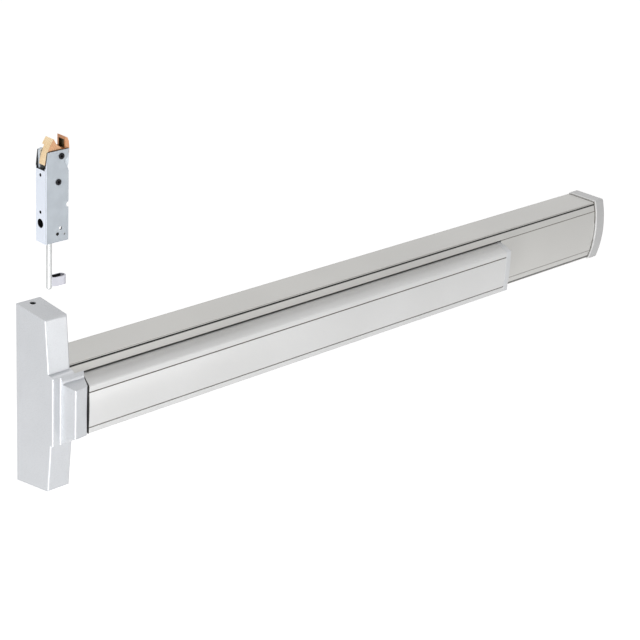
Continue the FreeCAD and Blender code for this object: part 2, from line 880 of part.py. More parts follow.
def make_crank():
    """The crank is drawn about its pivot at mid travel, with its arms square, and turned to its rest."""
    reach = ear_gap - s.contact_gap
    body = plate("bell_crank", "YZ", -reach, reach, circle(0, 0, s.crank_hub))
    half = s.crank_wall / 2
    push = [
        (-s.crank_root, 0),
        (-s.crank_neck, -s.crank_push_arm),
        (s.crank_neck, -s.crank_push_arm),
        (s.crank_root, 0),
    ]
    eye = s.drive_pin_radius + s.crank_eye_wall
    lift = [
        (0, -s.crank_root),
        (0, s.crank_root),
        (-s.crank_lift_arm, eye, -eye),
        (-s.crank_lift_arm, -eye),
    ]
    pad(body, "YZ", -half, half, push)
    pad(body, "YZ", -half, half, circle(0, -s.crank_push_arm, s.crank_tip))
    pad(body, "YZ", -half, half, lift)
    pocket(body, "YZ", -reach - OVER, reach + OVER, circle(0, 0, s.crank_pin_radius + s.running_gap))
    pocket(body, "YZ", -half - OVER, half + OVER, circle(-s.crank_lift_arm, 0, s.drive_pin_radius))
    body.Placement = crank_rest
    return node(body)


make_crank_bracket()
make_crank()
crank_axis = (crank_y, crank_z)
pin_head_top = ear_face + s.crank_pin_head_height
pin_head_radius = s.crank_pin_radius + s.crank_pin_head
node(fuse(
    "crank_pin",
    cylinder("crank_shank", "x", crank_axis, -ear_face, ear_face, s.crank_pin_radius),
    cylinder("crank_head", "x", crank_axis, ear_face, pin_head_top, pin_head_radius),
))
lift_left = s.crank_wall / 2 + s.lift_side_gap
lift_right = lift_left + s.lift_wall
drive_pin = plate(
    "drive_pin", "YZ", -s.crank_wall / 2, lift_right + s.contact_gap,
    circle(-s.crank_lift_arm, 0, s.drive_pin_radius),
)
drive_pin.Placement = crank_rest
node(drive_pin)

# Lift carriage: slides on the post, and its lug shows in the plate's slot for the rod's bracket.


def make_lift_carriage():
    limb_front = pin_depth + s.lift_over_pin
    limb_back = limb_front - s.lift_limb
    window_z = crank_z + lift_travel / 2
    eye_back = pin_depth - s.lift_limb
    eye_high, eye_low = window_z + s.lift_eye_half, window_z - s.lift_eye_half
    web_back, web_front = s.post_depth - s.lift_web, s.post_depth + s.lift_web
    limb = [
        (-limb_front, eye_high),
        (-eye_back, eye_high),
        (-eye_back, eye_low),
        (-limb_back, eye_low),
        (-limb_back, -s.arm_half_height - s.lift_limb),
        (-web_front, sleeve_top),
        (-web_back, sleeve_top),
        (-web_back, sleeve_foot),
        (-web_front, sleeve_foot),
        (-limb_front, sleeve_foot + s.lift_heel),
    ]
    body = plate("lift_carriage", "YZ", lift_left, lift_right, limb)
    pad(body, "XY", sleeve_foot, sleeve_top, circle(post_x, -s.post_depth, s.sleeve_radius))
    pad(body, "XY", sleeve_foot, sleeve_top, rectangle(post_x, lift_right, -web_front, -web_back))
    lug = rectangle(-s.lug_half_width, s.lug_half_width, -s.post_depth, -s.lug_recess)
    pad(body, "XY", lug_height - s.lug_half_height, lug_height + s.lug_half_height, lug)
    bore = circle(post_x, -s.post_depth, s.post_radius + s.running_gap)
    pocket(body, "XY", sleeve_foot - OVER, sleeve_top + OVER, bore)
    pocket(body, "XZ", 0, s.lug_recess + s.lug_hole_deep, circle(0, lug_height, s.lug_hole))
    eye = s.drive_pin_radius + s.contact_gap
    slot = stadium(s.slot_inner - pin_depth - s.slot_length, s.slot_inner - pin_depth, window_z, eye)
    pocket(body, "YZ", lift_left - OVER, lift_right + OVER, slot)
    return node(body)


make_lift_carriage()
node(cylinder(
    "lift_post", "z", (post_x, -s.post_depth),
    post_foot - s.tab_wall, s.post_top + s.tab_wall, s.post_radius,
))
node(spring(
    "lift_spring", post_x, s.post_depth, post_foot, sleeve_foot,
    s.post_radius + s.coil_gap, s.spring_wire, s.spring_turns,
))

# Rail: an extruded aluminium channel with sloping front strips that end in the mouth's lips.
lip_inner_depth = rail_lip_depth - s.rail_lip_edge
strip_inner_depth = s.rail_top_depth - s.rail_strip_wall


def rail_half(sign):
    """The rail's outline above the middle, or its mirror below it."""
    top = s.rail_half_height * sign
    mouth = s.rail_mouth_half * sign
    inner = (s.rail_half_height - s.rail_wall) * sign
    return [
        (0, top),
        (s.rail_corner - s.rail_top_depth, top),
        (-s.rail_top_depth, top - s.rail_corner * sign),
        (-rail_lip_depth, mouth),
        (-lip_inner_depth, mouth),
        (-strip_inner_depth, inner),
        (-s.rail_back_wall, inner),
    ]


def door_screw_holes():
    """The two holes in a row along Z that fix the rail's end to the door."""
    x = s.rail_end - s.bracket_hole_inset
    spread = s.bracket_hole_spacing / 2
    return circle(x, -spread, s.bracket_hole), circle(x, spread, s.bracket_hole)


def guide_screw_places(carrier):
    """X of the two rivets that hold a guide bracket."""
    middle = carrier + s.travel_sideways / 2
    return middle - s.guide_screw_spread, middle + s.guide_screw_spread


rail = plate("rail", "YZ", rail_left, s.rail_end, rail_half(1) + rail_half(-1)[::-1])
plug_depth = bar_back_depth + s.plug_inset
left_carrier = (
    slanted(bar_left + s.cap_plug, bar_depth, plug_depth) + s.carrier_plug_gap + s.carrier_length / 2
)
carriers = (left_carrier, s.bar_right - s.carrier_inset)
rivet_holes = [circle(x, 0, s.rivet_radius) for carrier in carriers for x in guide_screw_places(carrier)]
node(pocket(rail, "XZ", -OVER, s.rail_back_wall + OVER, *door_screw_holes(), *rivet_holes))

# Touch bar: an extruded aluminium channel, cut along its travel at both ends.
groove_height = bar_half_height - s.bar_groove_inset
groove_top = groove_height + s.bar_groove_width
corner_bow = s.bar_corner * QUARTER_BOW


def bar_face(grooved):
    """The front of the bar from its upper back edge to its lower one."""
    front = -bar_depth
    floor = s.bar_groove_depth - bar_depth
    upper_groove = [(front, groove_top), (floor, groove_top), (floor, groove_height)]
    lower_groove = [(floor, -groove_height), (floor, -groove_top), (front, -groove_top)]
    outline = [
        (-bar_back_depth, bar_half_height),
        (front + s.bar_corner, bar_half_height, -corner_bow),
        (front, bar_half_height - s.bar_corner),
    ]
    outline += upper_groove if grooved else []
    outline += [(front, groove_height, -s.bar_bow), (front, -groove_height)]
    outline += lower_groove if grooved else []
    outline += [
        (front, s.bar_corner - bar_half_height, -corner_bow),
        (front + s.bar_corner, -bar_half_height),
        (-bar_back_depth, -bar_half_height),
    ]
    return outline


def bar_inside():
    """The inside of the bar from its lower back edge to its upper one, with ribs for the carriers."""
    wall = bar_half_height - s.bar_wall
    floor = s.bar_wall - bar_depth
    rib_low = s.carrier_half_height + s.fit_gap
    rib_high = rib_low + s.bar_rib
    rib_front = floor + s.bar_rib_depth
    lower = [
        (-bar_back_depth, -wall),
        (floor, -wall),
        (floor, -rib_high),
        (rib_front, -rib_high),
        (rib_front, -rib_low),
        (floor, -rib_low),
    ]
    return lower + [(a, -b) for a, b in reversed(lower)]


def slanted_band(left, right):
    """The plan of a stretch of the bar whose two ends lie along its travel."""
    back = bar_back_depth - OVER
    front = bar_depth + s.bar_bow + OVER
    return [
        (slanted(left, bar_depth, front), -front),
        (slanted(right, bar_depth, front), -front),
        (slanted(right, bar_depth, back), -back),
        (slanted(left, bar_depth, back), -back),
    ]


def bar_stretch(label, outline, left, right):
    """A stretch of a bar section between two slanted ends."""
    low = slanted(left, bar_depth, bar_depth + s.bar_bow + OVER) - OVER
    high = slanted(right, bar_depth, bar_back_depth) + OVER
    side = bar_half_height + OVER
    return common(
        label,
        plate(label + "_section", "YZ", low, high, outline),
        plate(label + "_plan", "XY", -side, side, slanted_band(left, right)),
    )


def plug(label, left, right):
    """A plug that holds an end piece between the bar's ribs."""
    half = s.carrier_half_height - s.fit_gap
    outline = rectangle(s.bar_wall + s.fit_gap - bar_depth, -plug_depth, -half, half)
    return bar_stretch(label, outline, left, right)


cap_left = s.bar_right - s.bar_cap
node(bar_stretch("touch_bar", bar_face(True) + bar_inside(), bar_left, cap_left))
node(fuse(
    "touch_bar_end_cap",
    bar_stretch("cap_block", bar_face(False), cap_left, s.bar_right),
    plug("cap_plug_block", cap_left - s.cap_plug, cap_left + OVER),
))
node(fuse(
    "touch_bar_end_pad",
    bar_stretch("pad_block", bar_face(False), bar_left - s.bar_pad, bar_left),
    plug("pad_plug_block", bar_left - s.bar_pad / 2, bar_left + s.cap_plug),
))

# Bar carriers, guide brackets and pins: a pin in each slanted slot gives the bar its travel.
travel = math.hypot(float(s.travel_sideways), float(s.travel_inward))
across = (float(s.travel_inward) / travel, -float(s.travel_sideways) / travel)


def slanted_slot(x, depth, radius):
    """A slot from a pin's rest to the end of its travel."""
    end_x, end_y = x + s.travel_sideways, s.travel_inward - depth
    return [
        (x + radius * across[0], -depth + radius * across[1]),
        (end_x + radius * across[0], end_y + radius * across[1], -radius),
        (end_x - radius * across[0], end_y - radius * across[1]),
        (x - radius * across[0], -depth - radius * across[1], -radius),
    ]


arm_depth = arm_face + s.arm_wall / 2
arm_right = left_carrier - s.carrier_length / 2 + s.arm_seat
arm_pin_x = arm_right - s.arm_pin_inset


def make_carrier(name, x, with_arm):
    """A nylon block in the bar with a waist, bored for its guide pin; the left one holds the arm."""
    half = s.carrier_length / 2
    side = s.carrier_half_height
    back = s.carrier_pin_depth - s.carrier_back_wall
    outline = rectangle(x - half, x + half, s.bar_wall - bar_depth, -back)
    body = plate(name, "XY", -side, side, outline)
    wall = s.carrier_waist_wall
    waist = rectangle(
        x - half + wall, x + half - wall, s.carrier_waist_front - bar_depth, -arm_depth - s.carrier_waist_back
    )
    pocket(body, "XY", -side - OVER, side + OVER, waist)
    pocket(body, "XY", -side - OVER, side + OVER, circle(x, -s.carrier_pin_depth, s.guide_pin_radius))
    if with_arm:
        seat = rectangle(x - half - OVER, arm_right, -arm_face - s.arm_wall, -arm_face)
        pocket(body, "XY", -s.arm_half_height, s.arm_half_height, seat)
        pocket(body, "XY", -side - OVER, side + OVER, circle(arm_pin_x, -arm_depth, s.arm_pin_radius))
    return node(body)


def make_guide_bracket(name, x):
    """A riveted channel whose cheeks have the slanted slots that the pin runs in."""
    middle = x + s.travel_sideways / 2
    left, right = middle - s.guide_length / 2, middle + s.guide_length / 2
    inner = s.carrier_half_height + s.guide_side_gap
    outer = inner + s.guide_wall
    base_top = s.rail_back_wall + s.guide_wall
    front = s.carrier_pin_depth + s.guide_front_wall
    rivets = [circle(place, 0, s.rivet_radius) for place in guide_screw_places(x)]
    body = plate(name, "XZ", s.rail_back_wall, base_top, rectangle(left, right, -outer, outer), *rivets)
    cheek = [
        (left, -s.rail_back_wall),
        (left, -base_top - s.guide_bevel),
        (left + s.guide_bevel, -front),
        (right - s.guide_bevel, -front),
        (right, -base_top - s.guide_bevel),
        (right, -s.rail_back_wall),
    ]
    slot = slanted_slot(x, s.carrier_pin_depth, s.guide_pin_radius + s.guide_slot_gap)
    pad(body, "XY", inner, outer, cheek, slot)
    pad(body, "XY", -outer, -inner, cheek, slot)
    return node(body)


def make_rivets():
    """The rivets of both guide brackets, flush with the rail's back."""
    top = s.rail_back_wall + s.guide_wall
    parts = []
    for carrier in carriers:
        for x in guide_screw_places(carrier):
            head_top = top + s.rivet_head_height
            shank = cylinder("rivet_shank", "y", (x, 0), -top, 0, s.rivet_radius)
            head_radius = s.rivet_radius + s.rivet_head
            head = cone("rivet_head", "y", (x, 0), -head_top, -top, s.rivet_radius, head_radius)
            parts.append(fuse("rivet", shank, head))
    return node(fuse("guide_rivets", *parts))


for side, x in zip(("left", "right"), carriers):
    make_carrier(f"bar_carrier_{side}", x, side == "left")
    make_guide_bracket(f"guide_bracket_{side}", x)
    pin_end = s.carrier_half_height + s.guide_side_gap + s.guide_wall + s.guide_pin_proud
    node(cylinder(
        f"guide_pin_{side}", "z", (x, -s.carrier_pin_depth), -pin_end, pin_end, s.guide_pin_radius
    ))
make_rivets()
arm = plate(
    "actuator_arm", "XZ", arm_face, arm_face + s.arm_wall,
    rectangle(s.arm_side_gap - cavity_half, arm_right, -s.arm_half_height, s.arm_half_height),
)
node(pocket(
    arm, "XY", -s.arm_half_height - OVER, s.arm_half_height + OVER,
    circle(arm_pin_x, -arm_depth, s.arm_pin_radius),
))
node(cylinder(
    "arm_pin", "z", (arm_pin_x, -arm_depth), -s.carrier_half_height, s.carrier_half_height, s.arm_pin_radius
))

# Filler plate: snaps between the lips, beyond the bar, with its near end cut along the travel.


def make_filler():
    edge = s.rail_mouth_half - s.fit_gap
    leg = edge - s.filler_leg
    hook = edge + s.filler_hook
    front = -rail_lip_depth - s.filler_proud
    back = front + s.filler_wall
    lip_slope = (lip_inner_depth - strip_inner_depth) / (s.rail_half_height - s.rail_wall - s.rail_mouth_half)
    hook_front = s.filler_hook * lip_slope - lip_inner_depth + s.fit_gap
    hook_back = hook_front + s.filler_hook_wall
    outline = [
        (front, edge, -s.filler_bow),
        (front, -edge),
        (hook_front, -edge),
        (hook_front, -hook),
        (hook_back, -hook),
        (hook_back, -leg),
        (back, -leg, s.filler_bow),
        (back, leg),
        (hook_back, leg),
        (hook_back, hook),
        (hook_front, hook),
        (hook_front, edge),
    ]
    left = s.bar_right + s.filler_gap
    far_front, far_back = rail_lip_depth + s.filler_bow + OVER, -hook_back - OVER
    plan = [
        (slanted(left, bar_depth, far_front), -far_front),
        (s.rail_end, -far_front),
        (s.rail_end, -far_back),
        (slanted(left, bar_depth, far_back), -far_back),
    ]
    section = plate("filler_section", "YZ", left, s.rail_end, outline)
    return node(common("filler_plate", section, plate("filler_plan", "XY", -hook - OVER, hook + OVER, plan)))


make_filler()

# End cap and bracket: the bracket is screwed to the door through the rail, the cap to the bracket.


def cap_outline(inset, back):
    """The end cap's outline from its end, with a bowed front."""
    half = s.rail_half_height + s.cap_proud - inset
    front = inset - s.rail_top_depth - s.cap_corner_rise
    bow = s.cap_wall * QUARTER_BOW
    return [
        (back, half),
        (front + s.cap_wall, half, -bow),
        (front, half - s.cap_wall, -s.cap_bow),
        (front, s.cap_wall - half, -bow),
        (front + s.cap_wall, -half),
        (back, -half),
    ]


bracket_face = s.rail_end - s.bracket_inset
cap_right = s.rail_end + s.cap_length
sink_depth = s.cap_screw_head - s.cap_screw_radius


def make_end_cap():
    body = plate("cap_casting", "YZ", s.rail_end, cap_right, cap_outline(as_size(0), as_size(0)))
    inside = cap_right - s.cap_wall
    pocket(body, "YZ", s.rail_end - OVER, inside, cap_outline(s.cap_wall, as_size(OVER)))
    tongue_high = s.rail_half_height - s.rail_wall - s.fit_gap
    tongue_low = tongue_high - s.cap_tongue_wall
    tongue = rectangle(
        s.rail_end - s.cap_tongue, inside + s.cap_wall / 2,
        s.cap_tongue_inset - s.rail_top_depth, -s.rail_back_wall - s.cap_tongue_inset,
    )
    pad(body, "XY", tongue_low, tongue_high, tongue)
    pad(body, "XY", -tongue_high, -tongue_low, tongue)
    sinks = []
    for sign, name in ((1, "upper"), (-1, "lower")):
        place = (-s.cap_screw_depth, s.cap_screw_height * sign)
        boss = circle(*place, s.cap_screw_head + s.cap_screw_boss)
        pad(body, "YZ", bracket_face + s.fit_gap, inside + s.cap_wall / 2, boss)
        hole = circle(*place, s.cap_screw_radius + s.fit_gap)
        pocket(body, "YZ", bracket_face - OVER, cap_right + OVER, hole)
        sinks.append(cone(
            name + "_cap_sink", "x", place,
            cap_right - sink_depth, cap_right, s.cap_screw_radius, s.cap_screw_head,
        ))
    return node(cut("end_cap", body, *sinks))


def make_end_bracket():
    half = s.bracket_half_height
    left, right = s.rail_end - s.bracket_length - s.bracket_inset, bracket_face
    base_top = s.rail_back_wall + s.bracket_wall
    body = plate(
        "end_bracket", "XZ", s.rail_back_wall, base_top,
        rectangle(left, right, -half, half), *door_screw_holes(),
    )
    tab = rectangle(-s.cap_screw_depth - s.bracket_tab_margin, -s.rail_back_wall, -half, half)
    upper = circle(-s.cap_screw_depth, s.cap_screw_height, s.cap_screw_radius)
    lower = circle(-s.cap_screw_depth, -s.cap_screw_height, s.cap_screw_radius)
    return node(pad(body, "YZ", right - s.bracket_wall, right, tab, upper, lower))


def make_cap_screw(sign, name):
    """One countersunk screw of the end cap, with its socket."""
    place = (-s.cap_screw_depth, s.cap_screw_height * sign)
    tip, neck = bracket_face - s.bracket_wall - s.cap_screw_grip, cap_right - sink_depth
    shank = cylinder(name + "_shank", "x", place, tip, neck, s.cap_screw_radius)
    head = cone(name + "_head", "x", place, neck, cap_right, s.cap_screw_radius, s.cap_screw_head)
    blank = fuse(name + "_blank", shank, head)
    return cut(name, blank, socket(name + "_socket", "x", place, neck, cap_right + OVER, s.cap_screw_socket))


make_end_cap()
make_end_bracket()
node(fuse("end_cap_screws", make_cap_screw(1, "upper_cap_screw"), make_cap_screw(-1, "lower_cap_screw")))

# Top latch: a folded case that is open to the right, with a bolt and a catch on tubular rivets.
# Its rod draws a link beside the bolt, whose pin turns it; the heights stack up from the head's top.
rod_foot = half_height + s.rod_gap
case_foot = rod_foot + s.rod_reach
guide_top = case_foot + s.guide_height
collar_foot = guide_top + s.latch_spring_length
collar_top = collar_foot + s.collar_height
link_foot = collar_top + s.collar_gap
rod_top = link_foot + s.link_seat
link_top = rod_top + s.link_roof
catch_z = link_top + s.link_room
bolt_z = catch_z + s.catch_drop

latch_depth = s.case_front_depth - s.case_width / 2
latch_inner_half = s.case_width / 2 - s.case_wall
bolt_half = latch_inner_half - s.bolt_side_gap
bolt_low, bolt_high = latch_depth - bolt_half, latch_depth + bolt_half
link_turn = math.radians(float(s.bolt_link_angle))
link_pin_x = s.bolt_pivot_x - s.bolt_link_arm * math.cos(link_turn)
link_pin_z = bolt_z + s.bolt_link_arm * math.sin(link_turn)
link_pin_far = s.bolt_pivot_x - s.bolt_link_arm
link_middle = (link_pin_x + link_pin_far) / 2
link_half = s.link_width / 2
case_left = link_middle - link_half - s.link_side_gap - s.case_wall
case_right = case_left + s.case_reach
catch_x = link_middle + link_half + s.catch_link_gap + s.catch_hub
catch_face = s.bolt_pivot_x + s.bolt_hub + s.catch_bolt_gap
bolt_axis = (s.bolt_pivot_x, bolt_z)
catch_axis = (catch_x, catch_z)

# Corners of the case's side walls round the bolt: the share of the case's reach, and the rise over
# the bolt's pivot
CASE_EDGE = [(1.0, -16.0), (0.924, -10.4), (0.813, -5.8), (0.964, -2.1), (1.029, 6.4), (0.09, 5.8)]
# Plain holes through both side walls: the share of the case's reach, the rise over its foot and
# the radius
CASE_HOLES = [(0.651, 14.1, 1.8), (0.522, 8.5, 1.8), (0.831, 7.2, 1.0)]
# Corners of the bolt about its pivot, as shares of its link arm: its nose, toe, heel and right side
BOLT_EDGE = [
    (-0.55, 1.271), (-1.307, -0.514), (-0.914, -0.579), (-0.343, -0.471),
    (0.0, -0.357), (0.329, 0.143), (0.057, 0.564), (-0.343, 0.886),
]
# Right side and top of the rebate in the bolt's back for the link, as such shares
BOLT_REBATE = (-0.414, 0.779)
# Corners of the catch from its hub up the outside of its arm, over its head and back: the share of
# its thickness right of its inner face, and the share of the drop from the bolt's pivot to its own
CATCH_EDGE = [
    (-1.36, -0.177), (-0.16, 0.169), (0.8, 0.631), (1.0, 1.208), (0.84, 1.515), (0.54, 1.65),
    (0.16, 1.692), (0.0, 1.688), (0.0, 0.9), (-0.04, 0.631), (-0.96, 0.285), (-2.36, 0.131),
]
# Foot and top of the pocket in the catch's head, as shares of that drop
CATCH_POCKET = (1.227, 1.573)


def case_bends(edge):
    """The two outer bends of the folded case."""
    return runs_along(edge, FreeCAD.Vector(0, 0, 1)) and edge.CenterOfMass.x < float(case_left) + 0.1


def make_latch_case():
    front, back = s.case_front_depth, s.case_front_depth - s.case_width
    shoulder = bolt_z - s.case_shoulder_drop
    window_z = case_foot + s.case_window_height
    body = plate(
        "case_folded", "YZ", case_left, case_left + s.case_wall,
        rectangle(-front, -back, case_foot, shoulder),
        circle(-latch_depth, bolt_z - s.case_upper_drop, s.case_hole),
        circle(-latch_depth, window_z + s.case_lower_gap, s.case_hole),
        circle(-latch_depth, window_z, s.case_window),
    )
    notch_z = case_foot + s.case_notch_height
    side = [
        (case_left, case_foot),
        (case_right, case_foot),
        (case_right, notch_z - s.case_notch, s.case_notch),
        (case_right, notch_z + s.case_notch),
    ]
    side += [(case_left + s.case_reach * share, bolt_z + rise) for share, rise in CASE_EDGE]
    side += [(case_left, shoulder)]
    holes = [
        circle(case_left + s.case_reach * share, case_foot + rise, radius)
        for share, rise, radius in CASE_HOLES
    ]
    holes += [circle(*bolt_axis, s.pivot_radius), circle(*catch_axis, s.pivot_radius)]
    pad(body, "XZ", front - s.case_wall, front, side, *holes)
    pad(body, "XZ", back, back + s.case_wall, side, *holes)
    return node(rounded("latch_case", body, s.case_wall * 0.9, case_bends))


def tubular_rivet(label, axis_at):
    """A rivet through both side walls of the case, with a flange at each end."""
    front, back = -s.case_front_depth, s.case_width - s.case_front_depth
    flange, thick = s.pivot_radius + s.pivot_flange, s.pivot_flange_height
    solid = fuse(
        label + "_solid",
        cylinder(label + "_shank", "y", axis_at, front, back, s.pivot_radius),
        cylinder(label + "_front", "y", axis_at, front - thick, front, flange),
        cylinder(label + "_back", "y", axis_at, back, back + thick, flange),
    )
    bore = cylinder(label + "_bore", "y", axis_at, front - thick - OVER, back + thick + OVER, s.pivot_bore)
    return node(cut(label, solid, bore))


def make_latch_bolt():
    arm = s.bolt_link_arm
    outline = [(s.bolt_pivot_x + arm * across, bolt_z + arm * up) for across, up in BOLT_EDGE]
    outline[0] += (-s.bolt_face_bow,)
    body = plate("latch_bolt", "XZ", bolt_low, bolt_high, outline)
    pad(body, "XZ", bolt_low, bolt_high, circle(*bolt_axis, s.bolt_hub))
    rebate = rectangle(
        s.bolt_pivot_x - arm * 2, s.bolt_pivot_x + arm * BOLT_REBATE[0],
        bolt_z - arm, bolt_z + arm * BOLT_REBATE[1],
    )
    pocket(body, "XZ", bolt_low - OVER, bolt_low + s.link_wall + s.bolt_rebate_gap, rebate)
    bore = circle(*bolt_axis, s.pivot_radius + s.running_gap)
    pocket(body, "XZ", bolt_low - OVER, bolt_high + OVER, bore)
    pin_hole = circle(link_pin_x, link_pin_z, s.link_pin_radius)
    pocket(body, "XZ", bolt_low - OVER, bolt_high + OVER, pin_hole)
    return node(body)


def make_catch():
    outline = [
        (catch_face + s.catch_thickness * across, catch_z + s.catch_drop * up) for across, up in CATCH_EDGE
    ]
    body = plate("latch_catch", "XZ", bolt_low, bolt_high, outline)
    pad(body, "XZ", bolt_low, bolt_high, circle(*catch_axis, s.catch_hub))
    bore = circle(*catch_axis, s.pivot_radius + s.running_gap)
    pocket(body, "XZ", bolt_low - OVER, bolt_high + OVER, bore)
    rim = bolt_half - s.catch_rim
    pocket_foot, pocket_top = [catch_z + s.catch_drop * share for share in CATCH_POCKET]
    cup = rectangle(-latch_depth - rim, rim - latch_depth, pocket_foot, pocket_top)
    pocket(body, "YZ", catch_face - OVER, catch_face + s.catch_pocket, cup)
    return node(body)


def make_latch_link():
    """A flat bar behind the bolt, rising from the block that the rod is screwed into."""
    root = link_foot + s.link_roof
    bar = [
        (link_middle - link_half, root),
        (link_middle + link_half, root),
        (link_middle + link_half, link_pin_z, -link_half),
        (link_middle - link_half, link_pin_z),
    ]
    body = plate("latch_link", "XZ", bolt_low, bolt_low + s.link_wall, bar)
    side = s.link_block
    foot = rectangle(link_middle, s.rod_x + side, -latch_depth - side, -bolt_low)
    pad(body, "XY", link_foot, link_top, foot)
    pocket(body, "XY", link_foot - OVER, rod_top, circle(s.rod_x, -latch_depth, s.rod_radius))
    slot = stadium(link_pin_far, link_pin_x, link_pin_z, s.link_pin_radius + s.link_gap)
    pocket(body, "XZ", bolt_low - OVER, bolt_low + s.link_wall + OVER, slot)
    return node(body)


make_latch_case()
tubular_rivet("bolt_pivot", bolt_axis)
tubular_rivet("catch_pivot", catch_axis)
make_latch_bolt()
make_catch()
make_latch_link()
node(cylinder(
    "bolt_link_pin", "y", (link_pin_x, link_pin_z), -bolt_high, -bolt_low, s.link_pin_radius
))

# Latch rod with its guide, collar, spring and clip; its lower end takes the rod from the head.
rod_axis = (s.rod_x, -latch_depth)
guide_left = case_left + s.case_wall
guide = plate(
    "rod_guide", "XY", case_foot, guide_top,
    rectangle(
        guide_left, 2 * s.rod_x - guide_left, -latch_depth - latch_inner_half, latch_inner_half - latch_depth
    ),
)
node(pocket(guide, "XY", case_foot - OVER, guide_top + OVER, circle(*rod_axis, s.rod_radius + s.running_gap)))
bevel_top = rod_foot + s.rod_bevel
node(fuse(
    "latch_rod",
    cone("rod_bevelled_foot", "z", rod_axis, rod_foot, bevel_top, s.rod_radius - s.rod_bevel, s.rod_radius),
    cylinder("rod_length", "z", rod_axis, bevel_top, rod_top, s.rod_radius),
))
collar_radius = s.rod_radius + s.collar_radius
node(cut(
    "rod_collar",
    cylinder("collar_blank", "z", rod_axis, collar_foot, collar_top, collar_radius),
    cylinder("collar_bore", "z", rod_axis, collar_foot - OVER, collar_top + OVER, s.rod_radius),
))
node(spring(
    "latch_spring", s.rod_x, latch_depth, guide_top, collar_foot,
    s.rod_radius + s.coil_gap, s.spring_wire, s.latch_spring_turns,
))


def clip_plan(half, left, left_half):
    """The clip's loop from above: narrow at the rod, with a round far end."""
    y = -latch_depth
    shoulder = s.rod_x + s.clip_shoulder
    end = s.rod_x + s.clip_reach
    return [
        (left, y - left_half),
        (shoulder, y - half),
        (end, y - half, -half),
        (end, y + half),
        (shoulder, y + half),
        (left, y + left_half),
    ]


def make_rod_clip():
    """A loop of strip that is seated on the rod's right side."""
    left = s.rod_x + s.rod_radius / 2
    outer = clip_plan(s.clip_half_width, left, s.rod_radius)
    inner_left = s.rod_x + s.rod_radius + s.clip_wall / 2
    inner = clip_plan(s.clip_half_width - s.clip_wall, inner_left, s.rod_radius - s.clip_wall / 2)
    clip_foot = rod_foot + s.clip_rise
    clip_top = clip_foot + s.clip_height
    body = plate("rod_clip", "XY", clip_foot, clip_top, outer, inner)
    return node(pocket(body, "XY", clip_foot - OVER, clip_top + OVER, circle(*rod_axis, s.rod_radius)))


make_rod_clip()

# Every piece is checked and written out.
doc.recompute()
for item in doc.Objects:
    if "Invalid" in item.State or "Error" in item.State:
        raise RuntimeError(f"{item.Name} did not build")
os.makedirs("parts", exist_ok=True)
for name, item in nodes.items():
    if item.Shape.isNull() or not item.Shape.isValid():
        raise RuntimeError(f"{name} has no valid shape")
    item.Shape.exportStep(f"parts/{name}.step")
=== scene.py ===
import math

import bmesh
import bpy
from mathutils import Matrix, Vector


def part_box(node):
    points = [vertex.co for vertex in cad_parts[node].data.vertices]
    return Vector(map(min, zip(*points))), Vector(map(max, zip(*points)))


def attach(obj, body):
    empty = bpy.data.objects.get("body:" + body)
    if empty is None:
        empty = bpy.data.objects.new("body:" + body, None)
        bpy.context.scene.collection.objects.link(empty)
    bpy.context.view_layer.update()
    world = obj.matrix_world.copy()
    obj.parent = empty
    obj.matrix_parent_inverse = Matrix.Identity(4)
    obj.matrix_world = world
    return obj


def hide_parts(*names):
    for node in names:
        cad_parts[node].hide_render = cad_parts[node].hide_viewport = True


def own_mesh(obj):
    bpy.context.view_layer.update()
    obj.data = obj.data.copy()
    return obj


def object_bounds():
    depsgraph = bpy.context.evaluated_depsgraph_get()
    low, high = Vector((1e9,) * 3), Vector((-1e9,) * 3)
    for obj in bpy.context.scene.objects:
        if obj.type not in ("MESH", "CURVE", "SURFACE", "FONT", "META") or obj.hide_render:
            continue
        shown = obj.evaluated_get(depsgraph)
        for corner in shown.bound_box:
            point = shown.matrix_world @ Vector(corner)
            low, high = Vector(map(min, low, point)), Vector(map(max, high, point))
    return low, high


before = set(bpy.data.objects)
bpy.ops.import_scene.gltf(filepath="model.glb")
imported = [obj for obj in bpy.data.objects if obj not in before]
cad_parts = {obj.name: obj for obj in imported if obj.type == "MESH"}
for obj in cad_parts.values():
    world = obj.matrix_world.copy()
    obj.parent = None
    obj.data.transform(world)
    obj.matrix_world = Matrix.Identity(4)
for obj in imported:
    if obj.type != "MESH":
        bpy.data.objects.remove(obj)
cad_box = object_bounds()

# Camera
# A long lens stands to the left of the door leaf and above it. It looks down along the push bar,
# so that the head comes nearest and the rail runs away to the right.
CAMERA_PLACE = (-0.9614, -1.3517, 0.7937)
CAMERA_YAW = math.radians(45.8)
CAMERA_PITCH = math.radians(23.0)
CAMERA_ROLL = math.radians(3.86)
CAMERA_LENS = 97.6
CAMERA_SENSOR = 36.0

camera_data = bpy.data.cameras.new("camera")
camera_data.lens = CAMERA_LENS
camera_data.sensor_width = CAMERA_SENSOR
camera = bpy.data.objects.new("camera", camera_data)
bpy.context.collection.objects.link(camera)
turn = Matrix.Rotation(-CAMERA_YAW, 4, "Z")
tilt = Matrix.Rotation(math.radians(90) - CAMERA_PITCH, 4, "X")
lean = Matrix.Rotation(CAMERA_ROLL, 4, "Z")
camera.matrix_world = Matrix.Translation(CAMERA_PLACE) @ turn @ tilt @ lean
bpy.context.scene.camera = camera
bpy.context.scene.view_settings.view_transform = "Standard"

# Studio
# A white room with a pale floor well below the device, which hangs free as on a door. Both look
# white to the eye and to metal, and light the device more weakly. One lamp shows the head's side,
# one fills the front, one is overhead, and a small low one lines the rounded upright edges.
FLOOR_DROP = 0.55
FLOOR_HALF = 14.0
FLOOR_WHITE = (0.93, 0.93, 0.93)
FLOOR_GLOW = 0.74
ROOM_WHITE = 1.0
ROOM_LIGHT = 0.26

